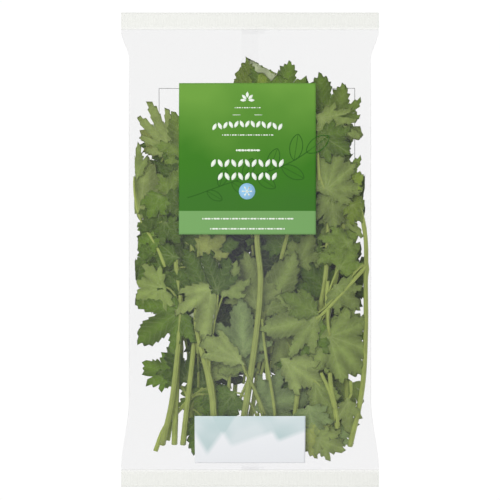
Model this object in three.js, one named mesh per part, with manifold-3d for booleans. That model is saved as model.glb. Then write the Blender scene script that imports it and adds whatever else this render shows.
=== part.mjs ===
// Flat-leaf parsley in a clear film packet that lies on its back, label up.
// The packet is one film web: it wraps round the herbs, laps over itself along the back,
// and is crimped flat at both ends. The sprigs lie in levels between the two skins.
// Millimetres. X runs across the packet, +Y towards its top seal, +Z up out of the label.
import * as THREE from "three";
import { mergeVertices } from "three/addons/utils/BufferGeometryUtils.js";
import Module from "manifold-3d";

const wasm = await Module();
wasm.setup();

// ---------------------------------------------------------------- driving dimensions
const PACK_LENGTH = 276; // over both seals
const FLAT_WIDTH = 150; // the web pressed flat, as it is at the seals
const SEAL_DEPTH = 10.5; // one crimped end, along Y
const SIDE_DRAW_IN = 4.65; // how far filling the packet pulls each long side in
const DRAW_IN_TOP = 17; // length over which the sides come in, from the top seal
const DRAW_IN_BOTTOM = 40; // and from the bottom seal
const SEAL_HEIGHT = 5; // middle of a seal above the table
const SIDE_HEIGHT = 12; // the side folds above the table, at mid length
const FRONT_RISE = 14.5; // front skin above the side folds
const BACK_DROP = 13; // back skin below them, if the table weren't there
const TOP_RISE = 62; // length over which the packet fills out, from the top seal
const BOTTOM_RISE = 45; // and from the bottom seal

const FILM = 0.6; // thickness of the film as a solid
const GAP = 0.4; // clearance between solids that touch
const BLADE = 0.6; // thickness of a leaf blade
const LAP = 10; // width of the lap seam along the back
const LAP_RAMP = 8; // length over which the inner lip climbs over the outer one
const LAP_CLEARANCE = 0.35; // between the two lips

const STEM_RADIUS = 1.3;
const STEM_SIDES = 5;
const STEM_STEP = 30; // length of one straight stretch of a stem
const STALK_RADIUS = 0.75; // leaf stalk
const STALK_SIDES = 3;
const STALK_STEP = 20;
const STALK_HOOK = 7; // how far behind a leaf its stalk lines up with it
const STALK_END = 1; // where a stalk ends inside its leaf, short of the hub
const STALK_DROP = 0.5; // how far its middle is under the middle of the blade there
const SIDE_ROOM = 4.5; // how far a leaf stays inside the packet's side fold
const LIFTS = [0, 0.8, -0.8]; // a sprig's leaves take turns at these heights, to lie clear of each other

const LABEL = { x: -1.5, y: 52.5, width: 79, height: 87.5, thickness: 0.3, columns: 8, rows: 6 };
const PANEL = { x: 0, y: -110, width: 64, height: 28, thickness: 0.3, columns: 6, rows: 4 };
const LABEL_GAP = 0.45; // between the film and what is stuck on it

const SEAL_INNER = PACK_LENGTH / 2 - SEAL_DEPTH; // |Y| at the inner edge of a seal

// ---------------------------------------------------------------- colours
const clearFilm = new THREE.MeshStandardMaterial({
  name: "film", color: 0xf0f1ee, roughness: 0.25, metalness: 0, transparent: true, opacity: 0.3,
});
const greenLabel = new THREE.MeshStandardMaterial({ name: "label", color: 0x4c882f, roughness: 0.5 });
const whitePanel = new THREE.MeshStandardMaterial({ name: "panel", color: 0xe3e9ec, roughness: 0.5 });
const leafGreen = () => new THREE.MeshStandardMaterial({ name: "leaf", color: 0x6b7f3c, roughness: 0.55 });

// ---------------------------------------------------------------- the packet's two skins
const clamp01 = (q) => Math.min(Math.max(q, 0), 1);
const swell = (q) => Math.sin((Math.PI / 2) * clamp01(q));
const smooth = (q) => clamp01(q) ** 2 * (3 - 2 * clamp01(q));

/** How full the packet is at y: 0 at a seal, 1 where the skins are furthest apart. */
function fill(y) {
  return swell((SEAL_INNER - y) / TOP_RISE) * swell((y + SEAL_INNER) / BOTTOM_RISE);
}

/** Half the packet's width at y. */
function halfWidth(y) {
  const drawn = smooth((SEAL_INNER - y) / DRAW_IN_TOP) * smooth((y + SEAL_INNER) / DRAW_IN_BOTTOM);
  return FLAT_WIDTH / 2 - SIDE_DRAW_IN * drawn;
}

/** Height of the side folds at y. */
function foldHeight(y) {
  return SEAL_HEIGHT + (SIDE_HEIGHT - SEAL_HEIGHT) * fill(y);
}

/** Outside of the front skin. */
function frontSkin(x, y) {
  const k = Math.min(Math.abs(x) / halfWidth(y), 1);
  return foldHeight(y) + FRONT_RISE * fill(y) * Math.sqrt(1 - k ** 2.4);
}

/** Outside of the back skin, which lies flat where it meets the table. */
function backSkin(x, y) {
  const k = Math.min(Math.abs(x) / halfWidth(y), 1);
  return Math.max(foldHeight(y) - BACK_DROP * fill(y) * Math.sqrt(1 - k ** 3), 0);
}

/** How much longer a thickness is along Z than square to a surface, given as height(x, y). */
function stretch(height, x, y) {
  const step = 0.5;
  const slopeX = (height(x + step, y) - height(x - step, y)) / (2 * step);
  const slopeY = (height(x, y + step) - height(x, y - step)) / (2 * step);
  return Math.hypot(1, slopeX, slopeY);
}

/**
 * Height at (x, y) of the middle of something that lies at a level of the packing, where it is
 * halfThick either way: at 0 it lies on the back skin, and at 1 it touches the front one.
 */
function levelHeight(level, halfThick, x, y) {
  const room = FILM + GAP + halfThick;
  const low = backSkin(x, y) + room * stretch(backSkin, x, y);
  const high = frontSkin(x, y) - room * stretch(frontSkin, x, y);
  return low + (high - low) * level;
}

// ---------------------------------------------------------------- solids
/** A closed three.js geometry as a manifold-3d solid. */
function solid(geometry) {
  const bare = geometry.clone();
  bare.deleteAttribute("normal");
  bare.deleteAttribute("uv");
  const merged = mergeVertices(bare, 1e-4);
  return new wasm.Manifold(
    new wasm.Mesh({
      numProp: 3,
      vertProperties: merged.attributes.position.array,
      triVerts: new Uint32Array(merged.index.array),
    }),
  );
}

/** A manifold-3d solid as a named mesh. */
function meshOf(name, body, material) {
  const { vertProperties, triVerts, numProp, numVert } = body.getMesh();
  const places = new Float32Array(numVert * 3);
  for (let i = 0; i < numVert; i++) {
    places.set(vertProperties.subarray(i * numProp, i * numProp + 3), i * 3);
  }
  const geometry = new THREE.BufferGeometry();
  geometry.setAttribute("position", new THREE.BufferAttribute(places, 3));
  geometry.setIndex(new THREE.BufferAttribute(triVerts, 1));
  geometry.computeVertexNormals();
  const mesh = new THREE.Mesh(geometry, material);
  mesh.name = name;
  return mesh;
}

// ---------------------------------------------------------------- the film
const BACK_COLUMNS = 8; // facets from the lap to a side fold
const FRONT_COLUMNS = 12; // facets across the front
const FILM_ROWS = 16;
const WEB_END = SEAL_INNER + 1; // |Y| where the web ends, inside a seal
const SEALED_PLY = 0.5; // half the distance between the middles of the two skins inside a seal
const SEAL_THICKNESS = 1.9; // a little over both skins, for the crimp

/** The web's middle line round the packet at y, from the outer lip to the inner one. */
function webSection(y) {
  const reach = halfWidth(y) - FILM / 2;
  const middle = (skin, side, x) => {
    const height = skin((x * halfWidth(y)) / reach, y) + (side * FILM) / 2;
    const ply = foldHeight(y) - side * SEALED_PLY;
    return side > 0 ? Math.min(height, ply) : Math.max(height, ply);
  };
  const points = [];
  for (let i = 0; i <= BACK_COLUMNS; i++) {
    const x = LAP / 2 - (reach + LAP / 2) * Math.sin((Math.PI / 2) * (i / BACK_COLUMNS));
    points.push([x, middle(backSkin, 1, x)]);
  }
  for (let i = 0; i <= FRONT_COLUMNS; i++) {
    const x = -reach * Math.cos((Math.PI * i) / FRONT_COLUMNS);
    points.push([x, middle(frontSkin, -1, x)]);
  }
  for (let i = BACK_COLUMNS; i >= 0; i--) {
    const x = -LAP / 2 + (reach + LAP / 2) * Math.sin((Math.PI / 2) * (i / BACK_COLUMNS));
    const climb = smooth((LAP / 2 + LAP_RAMP - x) / (LAP_RAMP - 2));
    points.push([x, middle(backSkin, 1, x) + (FILM + LAP_CLEARANCE) * climb]);
  }
  return points;
}

/** The film as one sheet with thickness, open only between the lips of its lap. */
function filmWeb() {
  const rows = [];
  for (let j = 0; j <= FILM_ROWS; j++) {
    const y = -WEB_END * Math.cos((Math.PI * j) / FILM_ROWS);
    rows.push(webSection(y).map(([x, z]) => new THREE.Vector3(x, y, z)));
  }
  const columns = rows[0].length;
  const normal = (j, i) => {
    const along = rows[Math.min(j + 1, FILM_ROWS)][i].clone().sub(rows[Math.max(j - 1, 0)][i]);
    const round = rows[j][Math.min(i + 1, columns - 1)].clone().sub(rows[j][Math.max(i - 1, 0)]);
    return round.cross(along).normalize();
  };
  // A box of the same grid, whose two big faces become the outside and the inside of the film.
  const sheet = new THREE.BoxGeometry(columns - 1, FILM_ROWS, 1, columns - 1, FILM_ROWS, 1);
  const place = sheet.attributes.position;
  for (let v = 0; v < place.count; v++) {
    const i = Math.round(place.getX(v) + (columns - 1) / 2);
    const j = Math.round(place.getY(v) + FILM_ROWS / 2);
    const out = place.getZ(v) * FILM;
    const at = rows[j][i].clone().addScaledVector(normal(j, i), out);
    place.setXYZ(v, at.x, at.y, at.z);
  }
  return solid(sheet);
}

/** One crimped end: both plies welded into a flat strip. */
function sealStrip(side) {
  const strip = new THREE.BoxGeometry(FLAT_WIDTH, SEAL_DEPTH, SEAL_THICKNESS);
  strip.translate(0, side * (PACK_LENGTH - SEAL_DEPTH) / 2, SEAL_HEIGHT);
  return solid(strip);
}

function filmPacket() {
  const body = filmWeb().add(sealStrip(1)).add(sealStrip(-1));
  return meshOf("film_packet", body, clearFilm);
}

/** A thin sheet stuck on the front skin. */
function sticker(name, size, material) {
  const { width, height, thickness, columns, rows } = size;
  const sheet = new THREE.BoxGeometry(width, height, thickness, columns, rows, 1);
  sheet.translate(size.x, size.y, LABEL_GAP + thickness / 2);
  const place = sheet.attributes.position;
  for (let v = 0; v < place.count; v++) {
    place.setZ(v, place.getZ(v) + frontSkin(place.getX(v), place.getY(v)));
  }
  return meshOf(name, solid(sheet), material);
}

// ---------------------------------------------------------------- leaves
// Half of each leaf's outline, from its base round to its tip: the angle from the leaf's
// heading in degrees, and the reach from the hub as a share of the leaf's length.
// Teeth and notches alternate, and the deepest notches part the three lobes.
const LEAF_FORMS = {
  fan: [[112, 0.13], [70, 0.55], [58, 0.5], [42, 0.86], [26, 0.5], [14, 0.86]],
  spread: [[125, 0.2], [100, 0.66], [88, 0.56], [68, 0.9], [48, 0.54], [28, 0.9], [14, 0.8]],
  round: [[110, 0.16], [74, 0.6], [58, 0.56], [40, 0.82], [20, 0.88]],
  lance: [[100, 0.12], [46, 0.42], [32, 0.68], [20, 0.56], [10, 0.84]],
};
const BASE_REACH = 0.16; // the outline's point behind the hub
const REACH_SPREAD = 0.08; // how far a tooth's reach varies either way
const ANGLE_SPREAD = 2; // and its angle, in degrees

/** Seeded draws from 0 to 1, the same on every run. */
function draws(seed) {
  let state = seed;
  return () => {
    state = (Math.imul(state, 1664525) + 1013904223) >>> 0;
    return state / 2 ** 32;
  };
}

/** A leaf's outline round its hub, as [angle from the heading in radians, reach in mm]. */
function leafOutline(form, length, seed) {
  const draw = draws(seed);
  const half = LEAF_FORMS[form];
  const side = (sign) =>
    half.map(([angle, reach]) => [
      sign * (angle + ANGLE_SPREAD * (2 * draw() - 1)),
      reach * (1 + REACH_SPREAD * (2 * draw() - 1)),
    ]);
  const right = side(-1);
  const left = side(1).reverse();
  const round = [[-180, BASE_REACH], ...right, [0, 1], ...left];
  return round.map(([angle, reach]) => [THREE.MathUtils.degToRad(angle), reach * length]);
}

/** A leaf blade: a disc whose rim is drawn out to the outline, laid on its level. */
function leafBlade(leaf, level, lift, seed) {
  const [form, hubX, hubY, tipX, tipY] = leaf;
  const heading = Math.atan2(tipY - hubY, tipX - hubX);
  const length = Math.hypot(tipX - hubX, tipY - hubY);
  const outline = leafOutline(form, length, seed);
  const turn = (2 * Math.PI) / outline.length;
  const height = (x, y) => levelHeight(level, BLADE / 2, x, y) + lift;
  const disc = new THREE.CylinderGeometry(1, 1, 1, outline.length, 1, false, Math.PI / 2);
  disc.rotateX(Math.PI / 2); // the disc's axis along Z, and its first rim point on +X
  const place = disc.attributes.position;
  for (let v = 0; v < place.count; v++) {
    const [rimX, rimY, side] = [place.getX(v), place.getY(v), place.getZ(v)];
    let [x, y] = [hubX, hubY];
    if (Math.hypot(rimX, rimY) > 0.5) {
      const index = Math.round(Math.atan2(rimY, rimX) / turn + outline.length) % outline.length;
      const [angle, reach] = outline[index];
      x += reach * Math.cos(heading + angle);
      y += reach * Math.sin(heading + angle);
    }
    const edge = halfWidth(y) - SIDE_ROOM;
    x = Math.min(Math.max(x, -edge), edge);
    place.setXYZ(v, x, y, height(x, y) + side * BLADE * stretch(height, x, y));
  }
  return solid(disc);
}

/** A round tube along a broken line. */
function tube(line, radius, sides) {
  const round = new THREE.Shape(
    Array.from({ length: sides }, (_, i) => {
      const angle = (2 * Math.PI * i) / sides;
      return new THREE.Vector2(radius * Math.cos(angle), radius * Math.sin(angle));
    }),
  );
  const extrudePath = new THREE.CatmullRomCurve3(line);
  return solid(new THREE.ExtrudeGeometry(round, { steps: line.length - 1, extrudePath }));
}

/** A curve in plan as a broken line, at heights given by height(x, y, share of the line). */
function raised(plan, step, height) {
  const steps = Math.max(Math.ceil(plan.getLength() / step), 2);
  return plan.getSpacedPoints(steps).map(({ x, y }, i) => new THREE.Vector3(x, y, height(x, y, i / steps)));
}

/** A stem's line, from its cut end up, laid on its level. */
function stemLine(stem, level) {
  const points = stem.map(([x, y]) => new THREE.Vector3(x, y, 0));
  const plan = new THREE.CatmullRomCurve3(points, false, "catmullrom", 0.5);
  return raised(plan, STEM_STEP, (x, y) => levelHeight(level, STEM_RADIUS, x, y));
}

/** The point at a share of a broken line, and the way the line runs there. */
function onLine(line, share) {
  const place = share * (line.length - 1);
  const i = Math.min(Math.floor(place), line.length - 2);
  const point = line[i].clone().lerp(line[i + 1], place - i);
  return { point, along: line[i + 1].clone().sub(line[i]).normalize() };
}

/** A leaf stalk's line: it leaves the stem along it, and meets the blade from behind. */
function stalkLine(stem, leaf, level, lift) {
  const [, hubX, hubY, tipX, tipY, joint] = leaf;
  const { point, along } = onLine(stem, joint);
  const start = point.clone().setZ(0);
  const hub = new THREE.Vector3(hubX, hubY, 0);
  const heading = new THREE.Vector3(tipX - hubX, tipY - hubY, 0).normalize();
  const gap = start.distanceTo(hub);
  const plan = new THREE.CubicBezierCurve3(
    start,
    start.clone().addScaledVector(along.setZ(0), gap / 3),
    hub.clone().addScaledVector(heading, -Math.min(gap / 3, STALK_HOOK)),
    hub.clone().addScaledVector(heading, -STALK_END),
  );
  const rootLift = point.z - levelHeight(level, STEM_RADIUS, point.x, point.y);
  return raised(plan, STALK_STEP, (x, y, share) => {
    const halfThick = THREE.MathUtils.lerp(STEM_RADIUS, BLADE / 2, share);
    return levelHeight(level, halfThick, x, y) + THREE.MathUtils.lerp(rootLift, lift - STALK_DROP, share);
  });
}

// ---------------------------------------------------------------- the sprigs
// level: where the sprig lies between the back skin, 0, and the front skin, 1.
// stem: its line in plan, from the cut end up.
// leaves: [form, hub x, hub y, tip x, tip y, joint], where joint is the share of the stem at
// which the leaf's stalk leaves it.
const SPRIGS = {
  sprig_long: {
    level: 0.94,
    stem: [[-7, -119], [3, -53], [6, -18], [4, 10], [8, 52], [13, 80]],
    leaves: [
      ["fan", 10, 89, 1, 109, 0.97], ["fan", 19, 90, 23, 110, 0.93], ["round", 26, 84, 32, 97, 0.85],
      ["round", 2, 84, -5, 96, 0.9], ["fan", 0, 58, -12, 74, 0.75], ["fan", 15, 56, 27, 72, 0.72],
    ],
  },
  sprig_left: {
    level: 0.9,
    stem: [[-51, -113], [-45, -87], [-41, -50], [-40, -29], [-43, -7]],
    leaves: [
      ["fan", -43, -34, -63, -53, 0.6], ["spread", -48, -23, -66, -26, 0.7],
      ["round", -43, -12, -44, -26, 0.9], ["lance", -44, -4, -65, 0, 0.95],
    ],
  },
  sprig_fork: {
    level: 0.97,
    stem: [[-20, -119], [-22, -83], [-29, -53], [-31, -38], [-28, -21]],
    leaves: [
      ["lance", -24, -22, -25, -50, 0.97], ["fan", -19, -23, -26, -3, 0.4], ["fan", -15, -25, -8, -8, 0.45],
    ],
  },
  sprig_right_edge: {
    level: 0.965,
    stem: [[58, -114], [65, -80], [67, -47], [67, -20], [67, 6], [63, 28]],
    leaves: [
      ["spread", 37, -40, 8, -46, 0.72], ["fan", 40, -43, 30, -60, 0.7], ["lance", 37, -36, 20, -28, 0.75],
      ["round", 59, 26, 66, 17, 0.9],
    ],
  },
  sprig_mid_leaf: {
    level: 0.79,
    stem: [[10, -116], [7, -94], [-2, -70]],
    leaves: [["fan", -4, -59, -5, -29, 0.95], ["fan", -6, -66, -25, -53, 0.85]],
  },
  sprig_pendant: {
    level: 0.825,
    stem: [[24, -117], [28, -80], [34, -60], [43, -20], [45, 10], [46, 28]],
    leaves: [
      ["spread", 45, -44, 57, -70, 0.6], ["fan", 57, 4, 40, -7, 0.75],
      ["round", 50, 1, 61, 8, 0.7], ["round", 47, 31, 49, 13, 0.97],
    ],
  },
  sprig_left_mid: {
    level: 0.81,
    stem: [[-39, -113], [-36, -87], [-32, -50], [-31, -23], [-34, 3]],
    leaves: [
      ["fan", -29, 8, -36, -14, 0.97], ["fan", -41, 9, -49, 37, 0.97], ["spread", -43, 5, -64, 6, 0.9],
      ["fan", -46, 15, -64, 31, 0.97], ["fan", -26, -1, -8, 3, 0.85],
    ],
  },
  sprig_short: {
    level: 0.69,
    stem: [[-14, -118], [-13, -92], [-12, -75]],
    leaves: [["fan", -14, -73, -18, -55, 0.97], ["fan", -9, -67, 1, -48, 0.97]],
  },
  sprig_left_tall: {
    level: 0.65,
    stem: [[-44, -113], [-42, -60], [-42, -10], [-41, 30], [-40, 52]],
    leaves: [
      ["fan", -46, 60, -59, 85, 0.97], ["fan", -38, 58, -44, 79, 0.97], ["round", -49, 57, -62, 64, 0.92],
      ["fan", -44, 42, -60, 50, 0.8], ["lance", -62, 22, -58, 50, 0.5], ["fan", -36, 30, -24, 46, 0.8],
    ],
  },
  sprig_right_low: {
    level: 0.53,
    stem: [[48, -107], [48, -90], [43, -75]],
    leaves: [["lance", 41, -80, 49, -99, 0.95], ["fan", 35, -77, 12, -83, 0.95]],
  },
  sprig_right_top: {
    level: 0.67,
    stem: [[32, -116], [35, -85], [40, -60], [50, -15], [54, 18], [53, 35]],
    leaves: [
      ["fan", 53, 41, 53, 60, 0.97], ["round", 56, 38, 66, 42, 0.97], ["fan", 56, 30, 64, 18, 0.85],
      ["fan", 52, 20, 53, 0, 0.8], ["fan", 49, 36, 37, 50, 0.97],
    ],
  },
  sprig_mid: {
    level: 0.62,
    stem: [[-2, -118], [3, -80], [7, -53], [8, -36]],
    leaves: [
      ["fan", 11, -32, 24, -3, 0.97], ["fan", 3, -31, -2, -3, 0.97], ["round", 2, -40, -9, -33, 0.85],
    ],
  },
  sprig_top_right: {
    level: 0.524,
    stem: [[15, -117], [13, -94], [9, -55], [15, -18], [29, 35], [41, 72]],
    leaves: [
      ["fan", 42, 79, 41, 101, 0.97], ["fan", 51, 76, 54, 95, 0.95], ["fan", 48, 71, 65, 66, 0.93],
      ["fan", 44, 66, 54, 54, 0.85], ["fan", 24, 48, 10, 60, 0.8], ["fan", 32, 62, 22, 80, 0.85],
    ],
  },
  sprig_left_low: {
    level: 0.445,
    stem: [[-55, -117], [-50, -104], [-42, -94], [-32, -84]],
    leaves: [
      ["round", -46, -74, -61, -66, 0.8], ["fan", -37, -75, -47, -58, 0.9],
      ["spread", -22, -86, -41, -90, 0.97], ["round", -27, -78, -29, -63, 0.97],
      ["lance", -29, -98, -33, -117, 0.7], ["fan", -21, -82, -14, -96, 0.97],
    ],
  },
  sprig_mid_low: {
    level: 0.453,
    stem: [[20, -117], [20, -90], [24, -60], [32, -38]],
    leaves: [
      ["lance", 37, -30, 29, -12, 0.97], ["lance", 40, -36, 42, -11, 0.95],
      ["fan", 26, -66, 40, -79, 0.55], ["fan", 19, -51, 15, -71, 0.7],
    ],
  },
  sprig_mid_right: {
    level: 0.306,
    stem: [[28, -116], [30, -75], [36, -35], [38, -8], [34, 24]],
    leaves: [
      ["fan", 38, -12, 34, 8, 0.6], ["lance", 34, -9, 22, -4, 0.6], ["fan", 33, 30, 24, 48, 0.95],
      ["fan", 39, 20, 54, 22, 0.85],
    ],
  },
  sprig_low_right: {
    level: 0.379,
    stem: [[52, -112], [55, -94], [56, -79], [54, -62]],
    leaves: [
      ["fan", 51, -95, 45, -114, 0.5], ["fan", 60, -78, 60, -101, 0.6],
      ["fan", 54, -56, 60, -38, 0.97], ["fan", 48, -77, 33, -66, 0.65],
    ],
  },
  sprig_low_mid: {
    level: 0.212,
    stem: [[37, -114], [38, -98], [39, -80], [38, -64]],
    leaves: [
      ["fan", 33, -92, 30, -112, 0.6], ["fan", 40, -94, 40, -112, 0.5], ["fan", 32, -80, 14, -88, 0.7],
      ["fan", 39, -57, 43, -38, 0.97], ["fan", 31, -60, 17, -46, 0.95],
    ],
  },
};

// The sprigs behind these differ only by their line and level: their leaves alternate.
const HIDDEN_STEMS = {
  sprig_back_left: { level: 0.32, stem: [[-35, -106], [-31, -60], [-38, 0], [-44, 48]] },
  sprig_back_edge: { level: 0.21, stem: [[-48, -111], [-40, -60], [-46, -10], [-48, 28]] },
  sprig_back_mid: { level: 0.205, stem: [[-11, -116], [-8, -60], [-10, 0], [-14, 66]] },
  sprig_back_under: { level: 0.06, stem: [[-26, -116], [-22, -60], [-24, 10], [-28, 62]] },
  sprig_back_tall: { level: 0.11, stem: [[5, -116], [12, -60], [14, 0], [20, 70]] },
  sprig_back_right: { level: 0.09, stem: [[47, -88], [50, -60], [49, 0], [51, 52]] },
};
const HIDDEN_JOINTS = [0.45, 0.62, 0.8, 0.97];
const HIDDEN_SPLAY = 50; // degrees between a hidden leaf and its stem
const HIDDEN_STALK = 6; // from the stem to such a leaf's hub
const HIDDEN_LENGTH = [23, 29];

/** The alternating leaves of a hidden sprig. */
function hiddenLeaves(stem, seed) {
  const draw = draws(seed);
  return HIDDEN_JOINTS.map((joint, i) => {
    const { point, along } = onLine(stem, joint);
    const last = i === HIDDEN_JOINTS.length - 1;
    const splay = last ? 0 : (i % 2 ? 1 : -1) * HIDDEN_SPLAY;
    const heading = Math.atan2(along.y, along.x) + THREE.MathUtils.degToRad(splay);
    const length = THREE.MathUtils.lerp(...HIDDEN_LENGTH, draw());
    const reach = (distance) => [
      point.x + distance * Math.cos(heading),
      point.y + distance * Math.sin(heading),
    ];
    return ["round", ...reach(HIDDEN_STALK), ...reach(HIDDEN_STALK + length), joint - 0.04];
  });
}

/** One sprig: its stem, leaf stalks and blades in one solid. */
function sprig(name, level, line, leaves, seed) {
  const pieces = [tube(line, STEM_RADIUS, STEM_SIDES)];
  leaves.forEach((leaf, i) => {
    const lift = LIFTS[i % LIFTS.length];
    pieces.push(leafBlade(leaf, level, lift, seed + i));
    pieces.push(tube(stalkLine(line, leaf, level, lift), STALK_RADIUS, STALK_SIDES));
  });
  return meshOf(name, wasm.Manifold.union(pieces), leafGreen());
}

// ---------------------------------------------------------------- the whole packet
const SEED_STEP = 100; // keeps the draws of one sprig clear of the next one's
const packet = new THREE.Group();
packet.add(filmPacket());
packet.add(sticker("front_label", LABEL, greenLabel));
packet.add(sticker("date_panel", PANEL, whitePanel));
Object.entries(SPRIGS).forEach(([name, { level, stem, leaves }], i) => {
  packet.add(sprig(name, level, stemLine(stem, level), leaves, SEED_STEP * (i + 1)));
});
Object.entries(HIDDEN_STEMS).forEach(([name, { level, stem }], i) => {
  const seed = SEED_STEP * (i + 51);
  const line = stemLine(stem, level);
  packet.add(sprig(name, level, line, hiddenLeaves(line, seed), seed));
});

export default packet;
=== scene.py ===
"""Flat-leaf parsley in a clear film packet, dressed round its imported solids.

The packet is a pillow of clear film, crimped at both ends, with a printed green label and a pale
date panel on its front. The sprigs lie between its two skins, at levels from 0 on the back skin
to 1 under the front one. Sizes are in millimetres until a piece is finished, then in metres.
X runs across the packet, +Y towards its top seal, +Z up out of the label.
"""

import functools
import logging
import math
from dataclasses import dataclass, field
from enum import Enum, IntEnum
from typing import Any, Callable, Sequence

import bmesh
import bpy
import numpy as np
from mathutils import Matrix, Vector

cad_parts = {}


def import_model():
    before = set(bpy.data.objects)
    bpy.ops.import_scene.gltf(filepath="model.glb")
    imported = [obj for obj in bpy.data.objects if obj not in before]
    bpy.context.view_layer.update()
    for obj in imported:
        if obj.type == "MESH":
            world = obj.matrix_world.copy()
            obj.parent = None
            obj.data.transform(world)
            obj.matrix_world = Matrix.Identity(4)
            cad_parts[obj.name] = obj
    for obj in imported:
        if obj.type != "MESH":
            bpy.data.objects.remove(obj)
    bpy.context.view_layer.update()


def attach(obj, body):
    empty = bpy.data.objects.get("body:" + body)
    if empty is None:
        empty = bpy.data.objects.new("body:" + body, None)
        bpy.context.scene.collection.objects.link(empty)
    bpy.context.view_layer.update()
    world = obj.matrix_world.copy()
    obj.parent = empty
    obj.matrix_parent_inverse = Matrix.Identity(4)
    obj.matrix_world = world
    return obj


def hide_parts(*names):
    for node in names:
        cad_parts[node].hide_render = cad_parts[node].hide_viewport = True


LOG = logging.getLogger("parsley_packet")
MM = 0.001  # metres in a millimetre
ROOT = "root"

Point = tuple[float, float]
Linear = tuple[float, float, float, float]
Array = np.ndarray
Mesh = bmesh.types.BMesh
Tree = bpy.types.NodeTree
Node = bpy.types.Node
Skin = Callable[[Array, Array], Array]


# -------------------------------- small helpers
def linear(code: str) -> Linear:
    """Turns an sRGB hex colour into linear light.

    Args:
        code: The colour as "rrggbb".

    Returns:
        Red, green, blue and an alpha of 1.
    """
    parts = [int(code[i : i + 2], 16) / 255 for i in (0, 2, 4)]
    bent = [c / 12.92 if c <= 0.04045 else ((c + 0.055) / 1.055) ** 2.4 for c in parts]
    return (bent[0], bent[1], bent[2], 1.0)


def swell(q: Array) -> Array:
    """A quarter sine from 0 to 1 as q goes from 0 to 1."""
    return np.sin(math.pi / 2 * np.clip(q, 0, 1))


def smooth(q: Array) -> Array:
    """An S-curve from 0 to 1 as q goes from 0 to 1."""
    q = np.clip(q, 0, 1)
    return q * q * (3 - 2 * q)


def toward(degrees: float) -> Array:
    """The unit direction at an angle from +X."""
    return np.array([math.cos(math.radians(degrees)), math.sin(math.radians(degrees))])


def draws(seed: int) -> Callable[[], float]:
    """Seeded draws from 0 to 1, the same on every run.

    Args:
        seed: Any whole number.

    Returns:
        A function that gives the next draw.
    """
    state = seed

    def draw() -> float:
        """Makes the next draw of a linear congruential generator.

        Returns:
            A number from 0 to 1.
        """
        nonlocal state
        state = (state * 1664525 + 1013904223) % 2**32
        return state / 2**32

    return draw


def add_node(tree: Tree, kind: str, inputs: dict | list = (), **settings: Any) -> Node:
    """Adds a node with its settings and links.

    Args:
        tree: The node tree that it joins.
        kind: The node's type name, less the "ShaderNode" that all of them start with.
        inputs: What each input takes, by its name or number, or in a list from the first input on:
            a value, a socket, or a node, of which the first output is meant.
        **settings: The node's own properties.

    Returns:
        The new node.
    """
    node = tree.nodes.new(f"ShaderNode{kind}")
    for key, value in settings.items():
        setattr(node, key, value)
    for key, value in inputs.items() if isinstance(inputs, dict) else enumerate(inputs):
        if isinstance(value, bpy.types.Node):
            value = value.outputs[0]
        if isinstance(value, bpy.types.NodeSocket):
            tree.links.new(value, node.inputs[key])
        else:
            node.inputs[key].default_value = value
    return node


def piece(
    name: str,
    mesh: Mesh,
    materials: Sequence[bpy.types.Material],
    replaces: Sequence[str] = (),
) -> None:
    """Makes a finished piece out of a mesh in millimetres, at the origin and riding on the packet.

    Args:
        name: The piece's name.
        mesh: Its mesh, which is used up.
        materials: Its materials, in the order of the faces' numbers.
        replaces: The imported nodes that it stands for.
    """
    bmesh.ops.scale(mesh, vec=(MM, MM, MM), verts=mesh.verts)
    for face in mesh.faces:
        face.smooth = True
    data = bpy.data.meshes.new(name)
    mesh.to_mesh(data)
    mesh.free()
    made = bpy.data.objects.new(name, data)
    bpy.context.scene.collection.objects.link(made)
    for material in materials:
        data.materials.append(material)
    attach(made, ROOT)
    if replaces:
        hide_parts(*replaces)
    LOG.info("%s: %d faces", name, len(data.polygons))


def sheet_mesh(columns: int, rows: int, place: Skin, thickness: float) -> Mesh:
    """A thin closed sheet shaped by a function of its two shares.

    Args:
        columns: Facets along the first share.
        rows: Facets along the second share.
        place: Gives the points, in mm, from the two shares, 0 to 1 each.
        thickness: The sheet's thickness, to the inside of the given points.

    Returns:
        The sheet.
    """
    mesh = bmesh.new()
    bmesh.ops.create_grid(mesh, x_segments=columns, y_segments=rows, size=0.5)
    flat = np.array([v.co for v in mesh.verts])
    span = np.ptp(flat, axis=0)
    shares = (flat - flat.min(0)) / np.where(span > 0, span, 1)
    for vert, co in zip(mesh.verts, place(shares[:, 0], shares[:, 1])):
        vert.co = co
    mesh.normal_update()
    bmesh.ops.solidify(mesh, geom=mesh.faces[:], thickness=thickness)
    return mesh


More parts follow.
